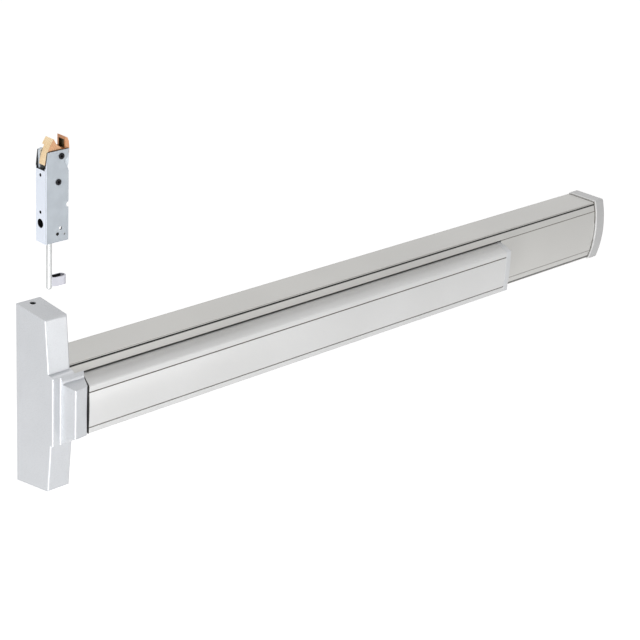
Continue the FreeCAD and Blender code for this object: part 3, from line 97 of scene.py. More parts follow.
world = bpy.data.worlds.new("studio")
bpy.context.scene.world = world
world.use_nodes = True
tree = world.node_tree
tree.nodes.clear()


def seen_level(tree, unseen, seen):
    """A strength for camera, glossy and transmission rays, and another for the light that falls."""
    path = tree.nodes.new("ShaderNodeLightPath")
    eye = path.outputs["Is Camera Ray"]
    for kind in ("Is Glossy Ray", "Is Transmission Ray"):
        either = tree.nodes.new("ShaderNodeMath")
        either.operation = "MAXIMUM"
        tree.links.new(eye, either.inputs[0])
        tree.links.new(path.outputs[kind], either.inputs[1])
        eye = either.outputs[0]
    level = tree.nodes.new("ShaderNodeMapRange")
    level.inputs["To Min"].default_value = unseen
    level.inputs["To Max"].default_value = seen
    tree.links.new(eye, level.inputs["Value"])
    return level.outputs["Result"]


glow = tree.nodes.new("ShaderNodeBackground")
glow.inputs["Color"].default_value = (1, 1, 1, 1)
tree.links.new(seen_level(tree, unseen=ROOM_LIGHT, seen=ROOM_WHITE), glow.inputs["Strength"])
world_out = tree.nodes.new("ShaderNodeOutputWorld")
tree.links.new(glow.outputs["Background"], world_out.inputs["Surface"])


def lamp(name, place, aim, size, watts, colour):
    """A soft square lamp at a place, turned to what it lights."""
    data = bpy.data.lights.new(name, "AREA")
    data.size = size
    data.energy = watts
    data.color = colour
    item = bpy.data.objects.new(name, data)
    bpy.context.collection.objects.link(item)
    item.location = place
    item.rotation_euler = (Vector(place) - Vector(aim)).to_track_quat("Z", "Y").to_euler()


lamp("key_lamp", (-1.7, -1.5, 0.1), (0.1, 0.0, 0.0), size=1.0, watts=12.0, colour=(0.97, 0.985, 1.0))
lamp("fill_lamp", (1.25, -2.4, -0.3), (0.2, 0.0, 0.0), size=0.7, watts=3.5, colour=(1.0, 0.995, 0.98))
lamp("edge_lamp", (-0.75, -0.70, -0.42), (0.0, 0.0, 0.0), size=0.45, watts=4.0, colour=(1.0, 1.0, 1.0))
lamp("top_lamp", (0.3, -0.1, 2.2), (0.4, 0.0, 0.0), size=1.8, watts=12.5, colour=(1.0, 0.99, 0.975))

floor_mesh = bpy.data.meshes.new("floor")
floor_z = cad_box[0][2] - FLOOR_DROP
floor_mesh.from_pydata(
    [(x * FLOOR_HALF, y * FLOOR_HALF, floor_z) for x, y in ((-1, -1), (1, -1), (1, 1), (-1, 1))],
    [],
    [(0, 1, 2, 3)],
)
floor = bpy.data.objects.new("floor", floor_mesh)
bpy.context.collection.objects.link(floor)
floor_paint = bpy.data.materials.new("floor_paint")
floor_paint.use_nodes = True
tree = floor_paint.node_tree
floor_shader = tree.nodes["Principled BSDF"]
floor_shader.inputs["Base Color"].default_value = (*FLOOR_WHITE, 1)
floor_shader.inputs["Roughness"].default_value = 0.9
floor_shader.inputs["Emission Color"].default_value = (1, 1, 1, 1)
tree.links.new(seen_level(tree, unseen=0.0, seen=FLOOR_GLOW), floor_shader.inputs["Emission Strength"])
floor_mesh.materials.append(floor_paint)

# Head cover
# A zinc casting, sprayed satin silver. The boss that carries the end of the bar flows out of its
# front, and its edges are soft from the die and from polishing. Its inside and its two screw wells
# are painted near black, as painted shade.
MM = 0.001
COVER_SILVER = (0.69, 0.705, 0.73)
COVER_SHADE = (0.665, 0.68, 0.705)
COVER_EDGE = 1.4 * MM
COVER_WALL = 2.6 * MM
HOLLOW_DEPTH = 28.0 * MM
HOLLOW_INSET = 1.5 * COVER_WALL
WELL_Y = -8.0 * MM
WELL_HALF = 3.4 * MM
WELL_SKIN = 1.4 * MM
# Near black, painted into hollows, wells and holes as painted shade.
PAINTED_SHADE_BLACK = (0.02, 0.02, 0.019)
PATCH_BLUR = 0.1 * MM
WELD_GAP = 0.002 * MM
FLAT_ANGLE = math.radians(0.6)
SHARP_ANGLE = math.radians(28.0)
EDGE_STEPS = 3


def node_group(name, inputs, outputs):
    """An empty shader node group; inputs and outputs map a socket's name to its kind."""
    group = bpy.data.node_groups.new(name, "ShaderNodeTree")
    for kind, sockets in (("INPUT", inputs), ("OUTPUT", outputs)):
        for socket, form in sockets.items():
            group.interface.new_socket(socket, in_out=kind, socket_type="NodeSocket" + form)
    start = group.nodes.new("NodeGroupInput")
    end = group.nodes.new("NodeGroupOutput")
    return group, start, end


def make_speckle_group():
    """Fine grain of a sprayed or blasted surface, with slow clouds in its tone."""
    group, start, end = node_group(
        "sprayed_grain",
        {"Vector": "Vector", "Grain Scale": "Float", "Cloud Scale": "Float"},
        {"Height": "Float", "Cloud": "Float", "Speck": "Float"},
    )
    grain = group.nodes.new("ShaderNodeTexNoise")
    grain.inputs["Detail"].default_value = 3.0
    cloud = group.nodes.new("ShaderNodeTexNoise")
    cloud.inputs["Detail"].default_value = 2.0
    speck = group.nodes.new("ShaderNodeTexVoronoi")
    for texture, scale in ((grain, "Grain Scale"), (cloud, "Cloud Scale"), (speck, "Grain Scale")):
        group.links.new(start.outputs["Vector"], texture.inputs["Vector"])
        group.links.new(start.outputs[scale], texture.inputs["Scale"])
    group.links.new(grain.outputs["Fac"], end.inputs["Height"])
    group.links.new(cloud.outputs["Fac"], end.inputs["Cloud"])
    group.links.new(speck.outputs["Distance"], end.inputs["Speck"])
    return group


sprayed_grain = make_speckle_group()


def new_material(name):
    """A material with its shader, and the object coordinates that its patterns read."""
    material = bpy.data.materials.new(name)
    material.use_nodes = True
    place = material.node_tree.nodes.new("ShaderNodeTexCoord").outputs["Object"]
    return material, material.node_tree, material.node_tree.nodes["Principled BSDF"], place


def add_mix(tree, factor, first, second):
    """A colour between two, by a socket or a number; the two are colours or sockets."""
    mix = tree.nodes.new("ShaderNodeMix")
    mix.data_type = "RGBA"
    sockets = (mix.inputs["Factor"], mix.inputs[6], mix.inputs[7])
    for socket, value in zip(sockets, (factor, first, second)):
        if isinstance(value, bpy.types.NodeSocket):
            tree.links.new(value, socket)
        elif isinstance(value, tuple):
            socket.default_value = (*value, 1)
        else:
            socket.default_value = value
    return mix.outputs[2]


def add_range(tree, value, low, high, start=0.0, end=1.0):
    """A number spread between two others."""
    spread = tree.nodes.new("ShaderNodeMapRange")
    spread.inputs["From Min"].default_value = start
    spread.inputs["From Max"].default_value = end
    spread.inputs["To Min"].default_value = low
    spread.inputs["To Max"].default_value = high
    tree.links.new(value, spread.inputs["Value"])
    return spread.outputs["Result"]


def add_bump(tree, height, distance, strength, shader):
    """Relief on the shader's normal, with its distance in metres."""
    bump = tree.nodes.new("ShaderNodeBump")
    bump.inputs["Distance"].default_value = distance
    bump.inputs["Strength"].default_value = strength
    tree.links.new(height, bump.inputs["Height"])
    tree.links.new(bump.outputs["Normal"], shader.inputs["Normal"])


def add_group(tree, group, place, settings):
    """A shader group fed with a place; settings map an input's name to its value."""
    node = tree.nodes.new("ShaderNodeGroup")
    node.node_tree = group
    tree.links.new(place, node.inputs["Vector"])
    for name, value in settings.items():
        node.inputs[name].default_value = value
    return node


def make_patch_group():
    """1 inside a box in the part's own place, and 0 outside it."""
    group, start, end = node_group(
        "patch_box",
        {"Vector": "Vector", "Centre": "Vector", "Half Size": "Vector"},
        {"Mask": "Float"},
    )
    ahead = start.outputs["Vector"]
    for operation, second in (("SUBTRACT", "Centre"), ("ABSOLUTE", None), ("SUBTRACT", "Half Size")):
        step = group.nodes.new("ShaderNodeVectorMath")
        step.operation = operation
        group.links.new(ahead, step.inputs[0])
        if second:
            group.links.new(start.outputs[second], step.inputs[1])
        ahead = step.outputs[0]
    split = group.nodes.new("ShaderNodeSeparateXYZ")
    group.links.new(ahead, split.inputs["Vector"])
    farthest = split.outputs["X"]
    for axis in ("Y", "Z"):
        larger = group.nodes.new("ShaderNodeMath")
        larger.operation = "MAXIMUM"
        group.links.new(farthest, larger.inputs[0])
        group.links.new(split.outputs[axis], larger.inputs[1])
        farthest = larger.outputs[0]
    within = group.nodes.new("ShaderNodeMapRange")
    within.inputs["From Min"].default_value = -PATCH_BLUR
    within.inputs["From Max"].default_value = PATCH_BLUR
    within.inputs["To Min"].default_value = 1.0
    within.inputs["To Max"].default_value = 0.0
    group.links.new(farthest, within.inputs["Value"])
    group.links.new(within.outputs["Result"], end.inputs["Mask"])
    return group


patch_box = make_patch_group()


def add_patch(tree, place, finish, low, high, colour):
    """The finish with another colour inside the box from low to high."""
    patch = add_group(tree, patch_box, place, {
        "Centre": [(a + b) / 2 for a, b in zip(low, high)],
        "Half Size": [(b - a) / 2 for a, b in zip(low, high)],
    })
    return add_mix(tree, patch.outputs["Mask"], finish, colour)


def sprayed_metal(name, colour, shade, roughness, metallic, patches=()):
    """Satin metal paint over a casting: fine grain and a barely clouded tone.

    Each patch is a box, by its low and high corners, and the colour inside it.
    """
    material, tree, shader, place = new_material(name)
    grain = add_group(tree, sprayed_grain, place, {"Grain Scale": 1400.0, "Cloud Scale": 22.0})
    cloud = add_range(tree, grain.outputs["Cloud"], low=0.0, high=1.0, start=0.35, end=0.65)
    finish = add_mix(tree, cloud, shade, colour)
    for patch in patches:
        finish = add_patch(tree, place, finish, *patch)
    tree.links.new(finish, shader.inputs["Base Color"])
    sheen = add_range(tree, grain.outputs["Speck"], roughness - 0.05, roughness + 0.06)
    tree.links.new(sheen, shader.inputs["Roughness"])
    shader.inputs["Metallic"].default_value = metallic
    add_bump(tree, grain.outputs["Height"], distance=0.02 * MM, strength=0.2, shader=shader)
    return material


def soft_edged(node, body, material, edge, angle=SHARP_ANGLE):
    """A finished copy of a node's solid, with its edges sharper than the angle broken."""
    piece = bpy.data.objects.new("finished_" + node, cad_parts[node].data.copy())
    bpy.context.collection.objects.link(piece)
    shape = bmesh.new()
    shape.from_mesh(piece.data)
    bmesh.ops.remove_doubles(shape, verts=shape.verts, dist=WELD_GAP)
    bmesh.ops.dissolve_limit(
        shape,
        angle_limit=FLAT_ANGLE,
        verts=shape.verts,
        edges=shape.edges,
        use_dissolve_boundaries=False,
    )
    for face in shape.faces:
        face.smooth = True
    shape.to_mesh(piece.data)
    shape.free()
    piece.data.materials.clear()
    piece.data.materials.append(material)
    bevel = piece.modifiers.new("broken_edges", "BEVEL")
    bevel.width = edge
    bevel.segments = EDGE_STEPS
    bevel.limit_method = "ANGLE"
    bevel.angle_limit = angle
    bevel.use_clamp_overlap = True
    flat = piece.modifiers.new("even_faces", "WEIGHTED_NORMAL")
    flat.keep_sharp = True
    flat.weight = 80
    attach(piece, body)
    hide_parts(node)


cover_low, cover_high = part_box("head_cover")
# Painted shade: the inside of the cover is painted near black.
cover_hollow = (
    (cover_low[0] + COVER_WALL, -HOLLOW_DEPTH, cover_low[2] + HOLLOW_INSET),
    (-cover_low[0] - COVER_WALL, 0.0, cover_high[2] - HOLLOW_INSET),
    PAINTED_SHADE_BLACK,
)
# Painted shade: the two screw wells are painted near black.
screw_wells = [
    ((-WELL_HALF, WELL_Y - WELL_HALF, foot), (WELL_HALF, WELL_Y + WELL_HALF, top), PAINTED_SHADE_BLACK)
    for foot, top in (
        (cover_low[2] + WELL_SKIN, cover_low[2] + 2 * COVER_WALL),
        (cover_high[2] - 2 * COVER_WALL, cover_high[2] - WELL_SKIN),
    )
]
cover_paint = sprayed_metal(
    "cover_satin_silver",
    COVER_SILVER,
    COVER_SHADE,
    roughness=0.3,
    metallic=0.42,
    patches=(cover_hollow, *screw_wells),
)
soft_edged("head_cover", "device", cover_paint, COVER_EDGE)

# Rail
# A long aluminium extrusion, satin anodised. Drawing it through its die leaves very fine lines
# along its length. The finish breaks dark along the corner above its lips and at its sawn end.
ANODISED = (0.675, 0.667, 0.643)
ANODISED_SHADE = (0.64, 0.632, 0.61)
# Brown for the rail's corner line and end seam, and for painted shade in the filler and bar grooves.
LINE_BROWN = (0.10, 0.085, 0.065)
RAIL_EDGE = 0.35 * MM
RAIL_WALL = 2.1 * MM
LIP_DEPTH = 2.3 * MM
CORNER_DROP = 1.2 * MM
CORNER_LINE_HALF = 0.35 * MM
SEAM_WIDTH = 1.5 * MM
PAST_ALL = 1.0


def make_drawn_group():
    """Fine lines along X, as a die leaves them, and the slow change in their tone."""
    group, start, end = node_group(
        "die_lines",
        {"Vector": "Vector", "Line Scale": "Float", "Length Scale": "Float"},
        {"Height": "Float", "Tone": "Float"},
    )
    split = group.nodes.new("ShaderNodeSeparateXYZ")
    group.links.new(start.outputs["Vector"], split.inputs["Vector"])
    join = group.nodes.new("ShaderNodeCombineXYZ")
    for axis, scale in (("X", "Length Scale"), ("Y", "Line Scale"), ("Z", "Line Scale")):
        times = group.nodes.new("ShaderNodeMath")
        times.operation = "MULTIPLY"
        group.links.new(split.outputs[axis], times.inputs[0])
        group.links.new(start.outputs[scale], times.inputs[1])
        group.links.new(times.outputs[0], join.inputs[axis])
    lines = group.nodes.new("ShaderNodeTexNoise")
    lines.inputs["Scale"].default_value = 1.0
    lines.inputs["Detail"].default_value = 4.0
    group.links.new(join.outputs["Vector"], lines.inputs["Vector"])
    tone = group.nodes.new("ShaderNodeTexNoise")
    tone.inputs["Scale"].default_value = 9.0
    tone.inputs["Detail"].default_value = 1.0
    group.links.new(start.outputs["Vector"], tone.inputs["Vector"])
    group.links.new(lines.outputs["Fac"], end.inputs["Height"])
    group.links.new(tone.outputs["Fac"], end.inputs["Tone"])
    return group


die_lines = make_drawn_group()


def make_edge_line_group():
    """Two narrow bands, 1 on their middle lines, at the same height above and below Z = 0."""
    group, start, end = node_group(
        "edge_line",
        {"Vector": "Vector", "Height": "Float", "Half Width": "Float"},
        {"Mask": "Float"},
    )
    split = group.nodes.new("ShaderNodeSeparateXYZ")
    group.links.new(start.outputs["Vector"], split.inputs["Vector"])
    both = group.nodes.new("ShaderNodeMath")
    both.operation = "ABSOLUTE"
    group.links.new(split.outputs["Z"], both.inputs[0])
    away = group.nodes.new("ShaderNodeMath")
    away.operation = "SUBTRACT"
    group.links.new(both.outputs[0], away.inputs[0])
    group.links.new(start.outputs["Height"], away.inputs[1])
    gap = group.nodes.new("ShaderNodeMath")
    gap.operation = "ABSOLUTE"
    group.links.new(away.outputs[0], gap.inputs[0])
    band = group.nodes.new("ShaderNodeMapRange")
    band.interpolation_type = "SMOOTHSTEP"
    band.inputs["From Min"].default_value = 0.0
    band.inputs["To Min"].default_value = 1.0
    band.inputs["To Max"].default_value = 0.0
    group.links.new(gap.outputs[0], band.inputs["Value"])
    group.links.new(start.outputs["Half Width"], band.inputs["From Max"])
    group.links.new(band.outputs["Result"], end.inputs["Mask"])
    return group


edge_line = make_edge_line_group()


def anodised_metal(name, colour, shade, roughness, patches, line_heights, line_half):
    """Satin anodised extrusion with its die lines, brown along chosen lines and with patches."""
    material, tree, shader, place = new_material(name)
    drawn = add_group(tree, die_lines, place, {"Line Scale": 1500.0, "Length Scale": 6.0})
    tone = add_range(tree, drawn.outputs["Tone"], low=0.0, high=1.0, start=0.35, end=0.65)
    finish = add_mix(tree, tone, shade, colour)
    for height in line_heights:
        line = add_group(tree, edge_line, place, {"Height": height, "Half Width": line_half})
        finish = add_mix(tree, line.outputs["Mask"], finish, LINE_BROWN)
    for patch in patches:
        finish = add_patch(tree, place, finish, *patch)
    tree.links.new(finish, shader.inputs["Base Color"])
    sheen = add_range(tree, drawn.outputs["Height"], roughness - 0.03, roughness + 0.03)
    tree.links.new(sheen, shader.inputs["Roughness"])
    shader.inputs["Metallic"].default_value = 0.5
    add_bump(tree, drawn.outputs["Height"], distance=0.008 * MM, strength=0.4, shader=shader)
    return material


rail_low, rail_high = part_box("rail")
# Painted shade: the rail's hollow behind its lips is painted near black.
rail_hollow = (
    (rail_low[0] - RAIL_WALL, rail_low[1] + LIP_DEPTH, rail_low[2] + RAIL_WALL),
    (rail_high[0] + RAIL_WALL, rail_high[1] - RAIL_WALL, rail_high[2] - RAIL_WALL),
    PAINTED_SHADE_BLACK,
)
end_seam = (
    (rail_high[0] - SEAM_WIDTH, rail_low[1] - RAIL_WALL, rail_low[2] - RAIL_WALL),
    (PAST_ALL, RAIL_WALL, PAST_ALL),
    LINE_BROWN,
)
rail_finish = anodised_metal(
    "rail_anodised",
    ANODISED,
    ANODISED_SHADE,
    roughness=0.34,
    patches=(rail_hollow, end_seam),
    line_heights=(rail_high[2] - CORNER_DROP,),
    line_half=CORNER_LINE_HALF,
)
soft_edged("rail", "device", rail_finish, RAIL_EDGE)

# Filler plate
# A bowed strip of the same aluminium, which snaps in behind the rail's lips past the push bar.
# Where it goes in behind the lips it's painted near black, and a brown line is painted along each
# lip's edge: both are painted shade.
FILLER_EDGE = 0.3 * MM
FILLER_SKIN = 5.0 * MM
# Painted shade: a brown line along the edge of each lip.
MOUTH_HALF = 28.9 * MM
MOUTH_LINE_HALF = 1.6 * MM

filler_low, filler_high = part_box("filler_plate")
# Painted shade: all of the filler deeper than its skin is painted near black.
filler_hollow = (
    (filler_low[0], filler_low[1] + FILLER_SKIN, filler_low[2]), filler_high, PAINTED_SHADE_BLACK
)
filler_finish = anodised_metal(
    "filler_anodised",
    ANODISED,
    ANODISED_SHADE,
    roughness=0.3,
    patches=(filler_hollow, end_seam),
    line_heights=(MOUTH_HALF,),
    line_half=MOUTH_LINE_HALF,
)
soft_edged("filler_plate", "device", filler_finish, FILLER_EDGE)

# Push bar
# The moving bar is an extrusion too. A fine groove runs along each side of its face, and its
# corners are drawn round. Its grooves are painted dark, and it's painted near black from just in
# front of the rail's lips inward: both are painted shade.
BAR_SILVER = (0.76, 0.76, 0.757)
BAR_SHADE = (0.735, 0.735, 0.73)
BAR_EDGE = 0.3 * MM
BAR_SHADOW_LEAD = 0.6 * MM
# Painted shade: a brown line painted over each groove.
GROOVE_HEIGHT = 19.9 * MM
GROOVE_HALF = 1.0 * MM

bar_low, bar_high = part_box("touch_bar")
# Painted shade: the bar is painted near black from just in front of the rail's lips inward.
bar_hollow = (
    (bar_low[0] - RAIL_WALL, rail_low[1] - BAR_SHADOW_LEAD, bar_low[2] - RAIL_WALL),
    bar_high,
    PAINTED_SHADE_BLACK,
)
bar_finish = anodised_metal(
    "bar_anodised",
    BAR_SILVER,
    BAR_SHADE,
    roughness=0.32,
    patches=(bar_hollow,),
    line_heights=(GROOVE_HEIGHT,),
    line_half=GROOVE_HALF,
)
soft_edged("touch_bar", "push_bar", bar_finish, BAR_EDGE)

# Ends of the push bar
# A cast cap closes the far end, in much the same silver as the head. A thin black nylon pad at
# the near end keeps the bar from rattling on the boss, and its two carriers are nylon too.
BAR_CAP_SILVER = (0.73, 0.74, 0.755)
BAR_CAP_SHADE = (0.68, 0.69, 0.70)
BAR_CAP_EDGE = 0.8 * MM
NYLON_BLACK = (0.012, 0.012, 0.013)
NYLON_LIFT = 1.6
PAD_EDGE = 0.2 * MM
CARRIER_EDGE = 0.4 * MM

bar_cap_paint = sprayed_metal(
    "bar_cap_silver", BAR_CAP_SILVER, BAR_CAP_SHADE, roughness=0.36, metallic=0.45
)
soft_edged("touch_bar_end_cap", "push_bar", bar_cap_paint, BAR_CAP_EDGE)


def moulded_nylon(name, colour):
    """Black nylon with the fine texture of its mould."""
    material, tree, shader, place = new_material(name)
    grain = add_group(tree, sprayed_grain, place, {"Grain Scale": 2200.0, "Cloud Scale": 60.0})
    lighter = tuple(NYLON_LIFT * part for part in colour)
    finish = add_mix(tree, grain.outputs["Cloud"], colour, lighter)
    tree.links.new(finish, shader.inputs["Base Color"])
    sheen = add_range(tree, grain.outputs["Speck"], low=0.5, high=0.7)
    tree.links.new(sheen, shader.inputs["Roughness"])
    add_bump(tree, grain.outputs["Height"], distance=0.05 * MM, strength=0.5, shader=shader)
    return material


nylon = moulded_nylon("black_nylon_moulded", NYLON_BLACK)
soft_edged("touch_bar_end_pad", "push_bar", nylon, PAD_EDGE)
for side in ("left", "right"):
    soft_edged(f"bar_carrier_{side}", "push_bar", nylon, CARRIER_EDGE)

# Rail end cap
# The casting at the far end of the rail stands a little proud of it all round, with a bowed front.
# Two countersunk screws hold it to the bracket inside. Its rim at the rail is painted brighter, as a
# painted highlight.
CAP_GREY = (0.60, 0.60, 0.60)
CAP_SHADE = (0.57, 0.57, 0.57)
CAP_RIM_PAINTED_HIGHLIGHT = (0.86, 0.86, 0.86)
CAP_EDGE = 0.6 * MM
RIM_WIDTH = 1.3 * MM

cap_low, cap_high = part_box("end_cap")
# Painted highlight: a bright band on the cap's rim beside the rail.
cap_rim_painted_highlight = (
    (rail_high[0] - MM, cap_low[1] - MM, cap_low[2] - MM),
    (rail_high[0] + RIM_WIDTH, MM, cap_high[2] + MM),
    CAP_RIM_PAINTED_HIGHLIGHT,
)
end_cap_paint = sprayed_metal(
    "end_cap_silver", CAP_GREY, CAP_SHADE, roughness=0.36, metallic=0.45, patches=(cap_rim_painted_highlight,)
)
soft_edged("end_cap", "device", end_cap_paint, CAP_EDGE)

# Plated steel
# The plates, brackets and levers are pressed from zinc-plated steel, bluish and faintly cloudy.
# The latch's case is folded from one sheet. Its narrow side is painted brighter, as painted light,
# and its wide faces darker, as painted shade; its inside is painted near black, as painted shade.
ZINC_BLUE = (0.70, 0.75, 0.80)
ZINC_SHADE = (0.62, 0.67, 0.72)
# The wide faces are painted darker as painted shade, and the narrow side brighter as painted light.
WIDE_FACE_PAINTED_SHADE = (0.45, 0.49, 0.53)
WIDE_FACE_PAINTED_SHADE_DEEP = (0.42, 0.455, 0.495)
SPINE_PAINTED_LIGHT = (0.84, 0.89, 0.98)
CASE_SKIN = 0.3 * MM
SPINE_SKIN = 1.2 * MM
PRESSED_EDGE = 0.25 * MM


def plated_metal(name, colour, shade, roughness, patches=(), metallic=0.6):
    """Plated metal: cloudy, with a fine crystalline speckle; patches as for sprayed metal."""
    material, tree, shader, place = new_material(name)
    grain = add_group(tree, sprayed_grain, place, {"Grain Scale": 700.0, "Cloud Scale": 75.0})
    cloud = add_range(tree, grain.outputs["Cloud"], low=0.0, high=1.0, start=0.38, end=0.62)
    finish = add_mix(tree, cloud, shade, colour)
    for patch in patches:
        finish = add_patch(tree, place, finish, *patch)
    tree.links.new(finish, shader.inputs["Base Color"])
    sheen = add_range(tree, grain.outputs["Speck"], roughness - 0.08, roughness + 0.08)
    tree.links.new(sheen, shader.inputs["Roughness"])
    shader.inputs["Metallic"].default_value = metallic
    add_bump(tree, grain.outputs["Height"], distance=0.02 * MM, strength=0.3, shader=shader)
    return material


zinc = plated_metal("zinc_plating", ZINC_BLUE, ZINC_SHADE, roughness=0.38)
PRESSED = {
    "device": (
        "base_plate",
        "crank_bracket",
        "end_bracket",
        "guide_bracket_left",
        "guide_bracket_right",
    ),
    "carriage": ("lift_carriage",),
    "crank": ("bell_crank",),
    "push_bar": ("actuator_arm",),
    "rod": ("latch_link", "rod_collar"),
}
for body, names in PRESSED.items():
    for name in names:
        soft_edged(name, body, zinc, PRESSED_EDGE)

case_low, case_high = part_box("latch_case")
# Painted light: the narrow side is painted brighter.
spine_painted_light = (
    (case_low[0] - MM, case_low[1] - MM, case_low[2] - MM),
    (case_low[0] + SPINE_SKIN, case_high[1] + MM, PAST_ALL),
    SPINE_PAINTED_LIGHT,
)
# Painted shade: the inside of the case is painted near black.
case_inside = (
    (case_low[0] + CASE_SKIN, case_low[1] + CASE_SKIN, case_low[2] + CASE_SKIN),
    (case_high[0] - CASE_SKIN, case_high[1] - CASE_SKIN, case_high[2] + MM),
    PAINTED_SHADE_BLACK,
)
case_finish = plated_metal(
    "latch_case_painted_light_and_shade",
    WIDE_FACE_PAINTED_SHADE,
    WIDE_FACE_PAINTED_SHADE_DEEP,
    roughness=0.38,
    patches=(spine_painted_light, case_inside),
)
soft_edged("latch_case", "device", case_finish, PRESSED_EDGE)

# Rod and its clip
# The rod of the top latch is drawn steel, with a loop of strip on its right side that keeps it off
# the door. Both are zinc-plated, and the loop is painted near black inside, as painted shade.
ROD_GREY = (0.68, 0.69, 0.69)
ROD_SHADE = (0.62, 0.63, 0.63)
CLIP_VIOLET = (0.66, 0.66, 0.72)
CLIP_SHADE = (0.61, 0.61, 0.67)
# Painted shade: the inside of the clip's loop is painted near black.
CLIP_EYE = ((7.3 * MM, -36.0 * MM, 122.5 * MM), (18.2 * MM, -29.0 * MM, 141.0 * MM), PAINTED_SHADE_BLACK)
ROD_EDGE = 0.2 * MM
CLIP_EDGE = 0.3 * MM
ROUND_ANGLE = math.radians(40.0)

rod_steel = plated_metal("rod_plating", ROD_GREY, ROD_SHADE, roughness=0.36)
clip_steel = plated_metal(
    "clip_plating", CLIP_VIOLET, CLIP_SHADE, roughness=0.34, patches=(CLIP_EYE,)
)
soft_edged("latch_rod", "rod", rod_steel, ROD_EDGE, ROUND_ANGLE)
soft_edged("rod_clip", "rod", clip_steel, CLIP_EDGE)

# Pins, rivets and screws
# Turned steel, bright from the lathe. The cover's screws, the latch's two tubular rivets and the
# guide of its rod are painted near black, as painted shade in the wells and holes they sit in.
TURNED_GREY = (0.72, 0.72, 0.72)
TURNED_SHADE = (0.66, 0.66, 0.66)
HOLE_SHADE_BLACK = (0.02, 0.02, 0.022)
HOLE_SHADE_BLACK_DEEP = (0.012, 0.012, 0.014)
PIN_EDGE = 0.15 * MM

bright = plated_metal("turned_steel", TURNED_GREY, TURNED_SHADE, roughness=0.24)
# Painted shade: these parts are painted near black so that the holes they sit in read dark.
painted_hole_black = plated_metal("steel_painted_hole_shade", HOLE_SHADE_BLACK, HOLE_SHADE_BLACK_DEEP, roughness=0.5)
for name in ("bolt_pivot", "catch_pivot", "cover_screws"):
    soft_edged(name, "device", painted_hole_black, PIN_EDGE, ROUND_ANGLE)
soft_edged("rod_guide", "device", painted_hole_black, PIN_EDGE)
TURNED = {
    "device": ("crank_pin", "lift_post", "end_cap_screws", "guide_rivets"),
    "crank": ("drive_pin",),
    "push_bar": ("guide_pin_left", "guide_pin_right", "arm_pin"),
    "bolt": ("bolt_link_pin",),
}
for body, names in TURNED.items():
    for name in names:
        soft_edged(name, body, bright, PIN_EDGE, ROUND_ANGLE)

# Springs
# Coils of round spring wire, bright drawn. One returns the carriage in the head, the other lifts
# the latch's rod.
WIRE_GREY = (0.60, 0.60, 0.61)
WIRE_SHADE = (0.54, 0.54, 0.55)
WIRE_RADIUS = 0.6 * MM
COIL_RADIUS = 4.4 * MM


def make_coil_tree():
    """Geometry nodes for a coil of round wire along Z, from its foot up."""
    tree = bpy.data.node_groups.new("coil_of_wire", "GeometryNodeTree")
    for socket in ("Coil Radius", "Wire Radius", "Turns", "Height"):
        tree.interface.new_socket(socket, in_out="INPUT", socket_type="NodeSocketFloat")
    tree.interface.new_socket("Material", in_out="INPUT", socket_type="NodeSocketMaterial")
    tree.interface.new_socket("Foot", in_out="INPUT", socket_type="NodeSocketVector")
    tree.interface.new_socket("Geometry", in_out="OUTPUT", socket_type="NodeSocketGeometry")
    start = tree.nodes.new("NodeGroupInput")
    end = tree.nodes.new("NodeGroupOutput")
    spiral = tree.nodes.new("GeometryNodeCurveSpiral")
    spiral.inputs["Resolution"].default_value = 40
    tree.links.new(start.outputs["Coil Radius"], spiral.inputs["Start Radius"])
    tree.links.new(start.outputs["Coil Radius"], spiral.inputs["End Radius"])
    tree.links.new(start.outputs["Turns"], spiral.inputs["Rotations"])
    tree.links.new(start.outputs["Height"], spiral.inputs["Height"])
    wire = tree.nodes.new("GeometryNodeCurvePrimitiveCircle")
    wire.inputs["Resolution"].default_value = 14
    tree.links.new(start.outputs["Wire Radius"], wire.inputs["Radius"])
    sweep = tree.nodes.new("GeometryNodeCurveToMesh")
    sweep.inputs["Fill Caps"].default_value = True
    tree.links.new(spiral.outputs["Curve"], sweep.inputs["Curve"])
    tree.links.new(wire.outputs["Curve"], sweep.inputs["Profile Curve"])
    lift = tree.nodes.new("GeometryNodeTransform")
    tree.links.new(sweep.outputs["Mesh"], lift.inputs["Geometry"])
    tree.links.new(start.outputs["Foot"], lift.inputs["Translation"])
    smooth = tree.nodes.new("GeometryNodeSetShadeSmooth")
    tree.links.new(lift.outputs["Geometry"], smooth.inputs["Geometry"])
    whole = tree.nodes.new("GeometryNodeRealizeInstances")
    tree.links.new(smooth.outputs["Geometry"], whole.inputs["Geometry"])
    skin = tree.nodes.new("GeometryNodeSetMaterial")
    tree.links.new(whole.outputs["Geometry"], skin.inputs["Geometry"])
    tree.links.new(start.outputs["Material"], skin.inputs["Material"])
    tree.links.new(skin.outputs["Geometry"], end.inputs["Geometry"])
    return tree


def set_input(modifier, name, value):
    """Set a tree's named input on a modifier, by the socket's identifier."""
    for item in modifier.node_group.interface.items_tree:
        if item.item_type == "SOCKET" and item.in_out == "INPUT" and item.name == name:
            modifier[item.identifier] = value
            return
    raise KeyError(name)


def grown_mesh(name, tree, values):
    """A plain mesh object from a geometry nodes tree and its inputs."""
    seed = bpy.data.objects.new(name + "_seed", bpy.data.meshes.new(name + "_seed"))
    bpy.context.collection.objects.link(seed)
    modifier = seed.modifiers.new("grow", "NODES")
    modifier.node_group = tree
    for key, value in values.items():
        set_input(modifier, key, value)
    evaluated = seed.evaluated_get(bpy.context.evaluated_depsgraph_get())
    mesh = bpy.data.meshes.new_from_object(evaluated)
    bpy.data.objects.remove(seed)
    piece = bpy.data.objects.new(name, mesh)
    bpy.context.collection.objects.link(piece)
    return piece


coil_tree = make_coil_tree()
spring_wire = plated_metal("spring_wire", WIRE_GREY, WIRE_SHADE, roughness=0.26)
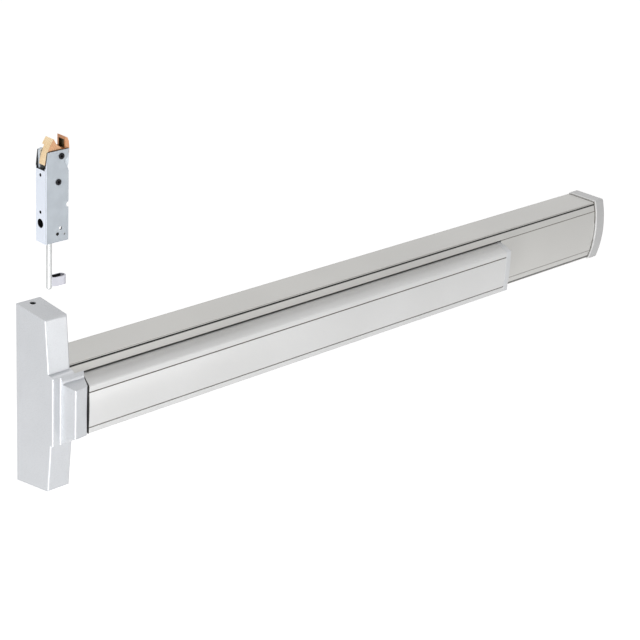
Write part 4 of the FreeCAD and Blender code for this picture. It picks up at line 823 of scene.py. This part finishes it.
# The piece inside each coil, its turns, its joint and the share of its length that is left.
SPRINGS = {
    "lift_spring": ("lift_post", 6.0, "carriage_lift", 0.79),
    "latch_spring": ("latch_rod", 4.0, "rod_draw", 0.626),
}
for name, (core, turns, joint, length_left) in SPRINGS.items():
    low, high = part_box(name)
    core_low, core_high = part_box(core)
    middle_x = (core_low[0] + core_high[0]) / 2
    middle_y = (core_low[1] + core_high[1]) / 2
    coil = grown_mesh("wound_" + name, coil_tree, {
        "Coil Radius": COIL_RADIUS,
        "Wire Radius": WIRE_RADIUS,
        "Turns": turns,
        "Height": high[2] - low[2] - 2 * WIRE_RADIUS,
        "Material": spring_wire,
        "Foot": (middle_x, middle_y, low[2] + WIRE_RADIUS),
    })
    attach(coil, "device")
    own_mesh(coil)
    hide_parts(name)

# Latch bolt and catch
# Sintered bronze pieces with a gold wash. The bolt's face is polished by the strike, and its front
# side is painted brown, as painted shade. The catch beside it is redder, with its pocket painted dark
# olive as painted shade, and zinc-plated lower down.
GOLD = (0.96, 0.75, 0.48)
GOLD_SHADE = (0.90, 0.67, 0.40)
BOLT_SIDE_PAINTED_SHADE = (0.52, 0.29, 0.16)
COPPER = (0.64, 0.33, 0.18)
COPPER_SHADE = (0.54, 0.27, 0.145)
POCKET_PAINTED_SHADE = (0.075, 0.06, 0.03)
BRONZE_EDGE = 0.4 * MM
BOLT_SKIN = 0.3 * MM
CATCH_FACE = 16.8 * MM
CATCH_SKIN = 0.3 * MM
CATCH_HEAD_FOOT = 266.0 * MM
POCKET_FLOOR = 2.6 * MM
POCKET_RIM = 2.0 * MM
POCKET_LOW = 270.3 * MM
POCKET_HIGH = 279.7 * MM

bolt_low, bolt_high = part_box("latch_bolt")
# Painted shade: the bolt's front side is painted brown.
bolt_front_painted_shade = (
    (bolt_low[0] - MM, bolt_low[1] - MM, bolt_low[2] - MM),
    (bolt_high[0], bolt_low[1] + BOLT_SKIN, PAST_ALL),
    BOLT_SIDE_PAINTED_SHADE,
)
gold = plated_metal(
    "bolt_gold_wash", GOLD, GOLD_SHADE, roughness=0.3, patches=(bolt_front_painted_shade,), metallic=0.75
)
catch_low, catch_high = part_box("latch_catch")
# Painted shade: the catch's pocket is painted dark olive.
catch_pocket = (
    (CATCH_FACE + CATCH_SKIN, catch_low[1] + POCKET_RIM, POCKET_LOW),
    (CATCH_FACE + POCKET_FLOOR, catch_high[1] - POCKET_RIM, POCKET_HIGH),
    POCKET_PAINTED_SHADE,
)
catch_arm = (
    (catch_low[0] - MM, catch_low[1] - MM, catch_low[2] - MM),
    (PAST_ALL, 0.0, CATCH_HEAD_FOOT),
    ZINC_SHADE,
)
copper = plated_metal(
    "catch_copper_wash",
    COPPER,
    COPPER_SHADE,
    roughness=0.36,
    patches=(catch_pocket, catch_arm),
)
soft_edged("latch_bolt", "bolt", gold, BRONZE_EDGE)
soft_edged("latch_catch", "catch", copper, BRONZE_EDGE)
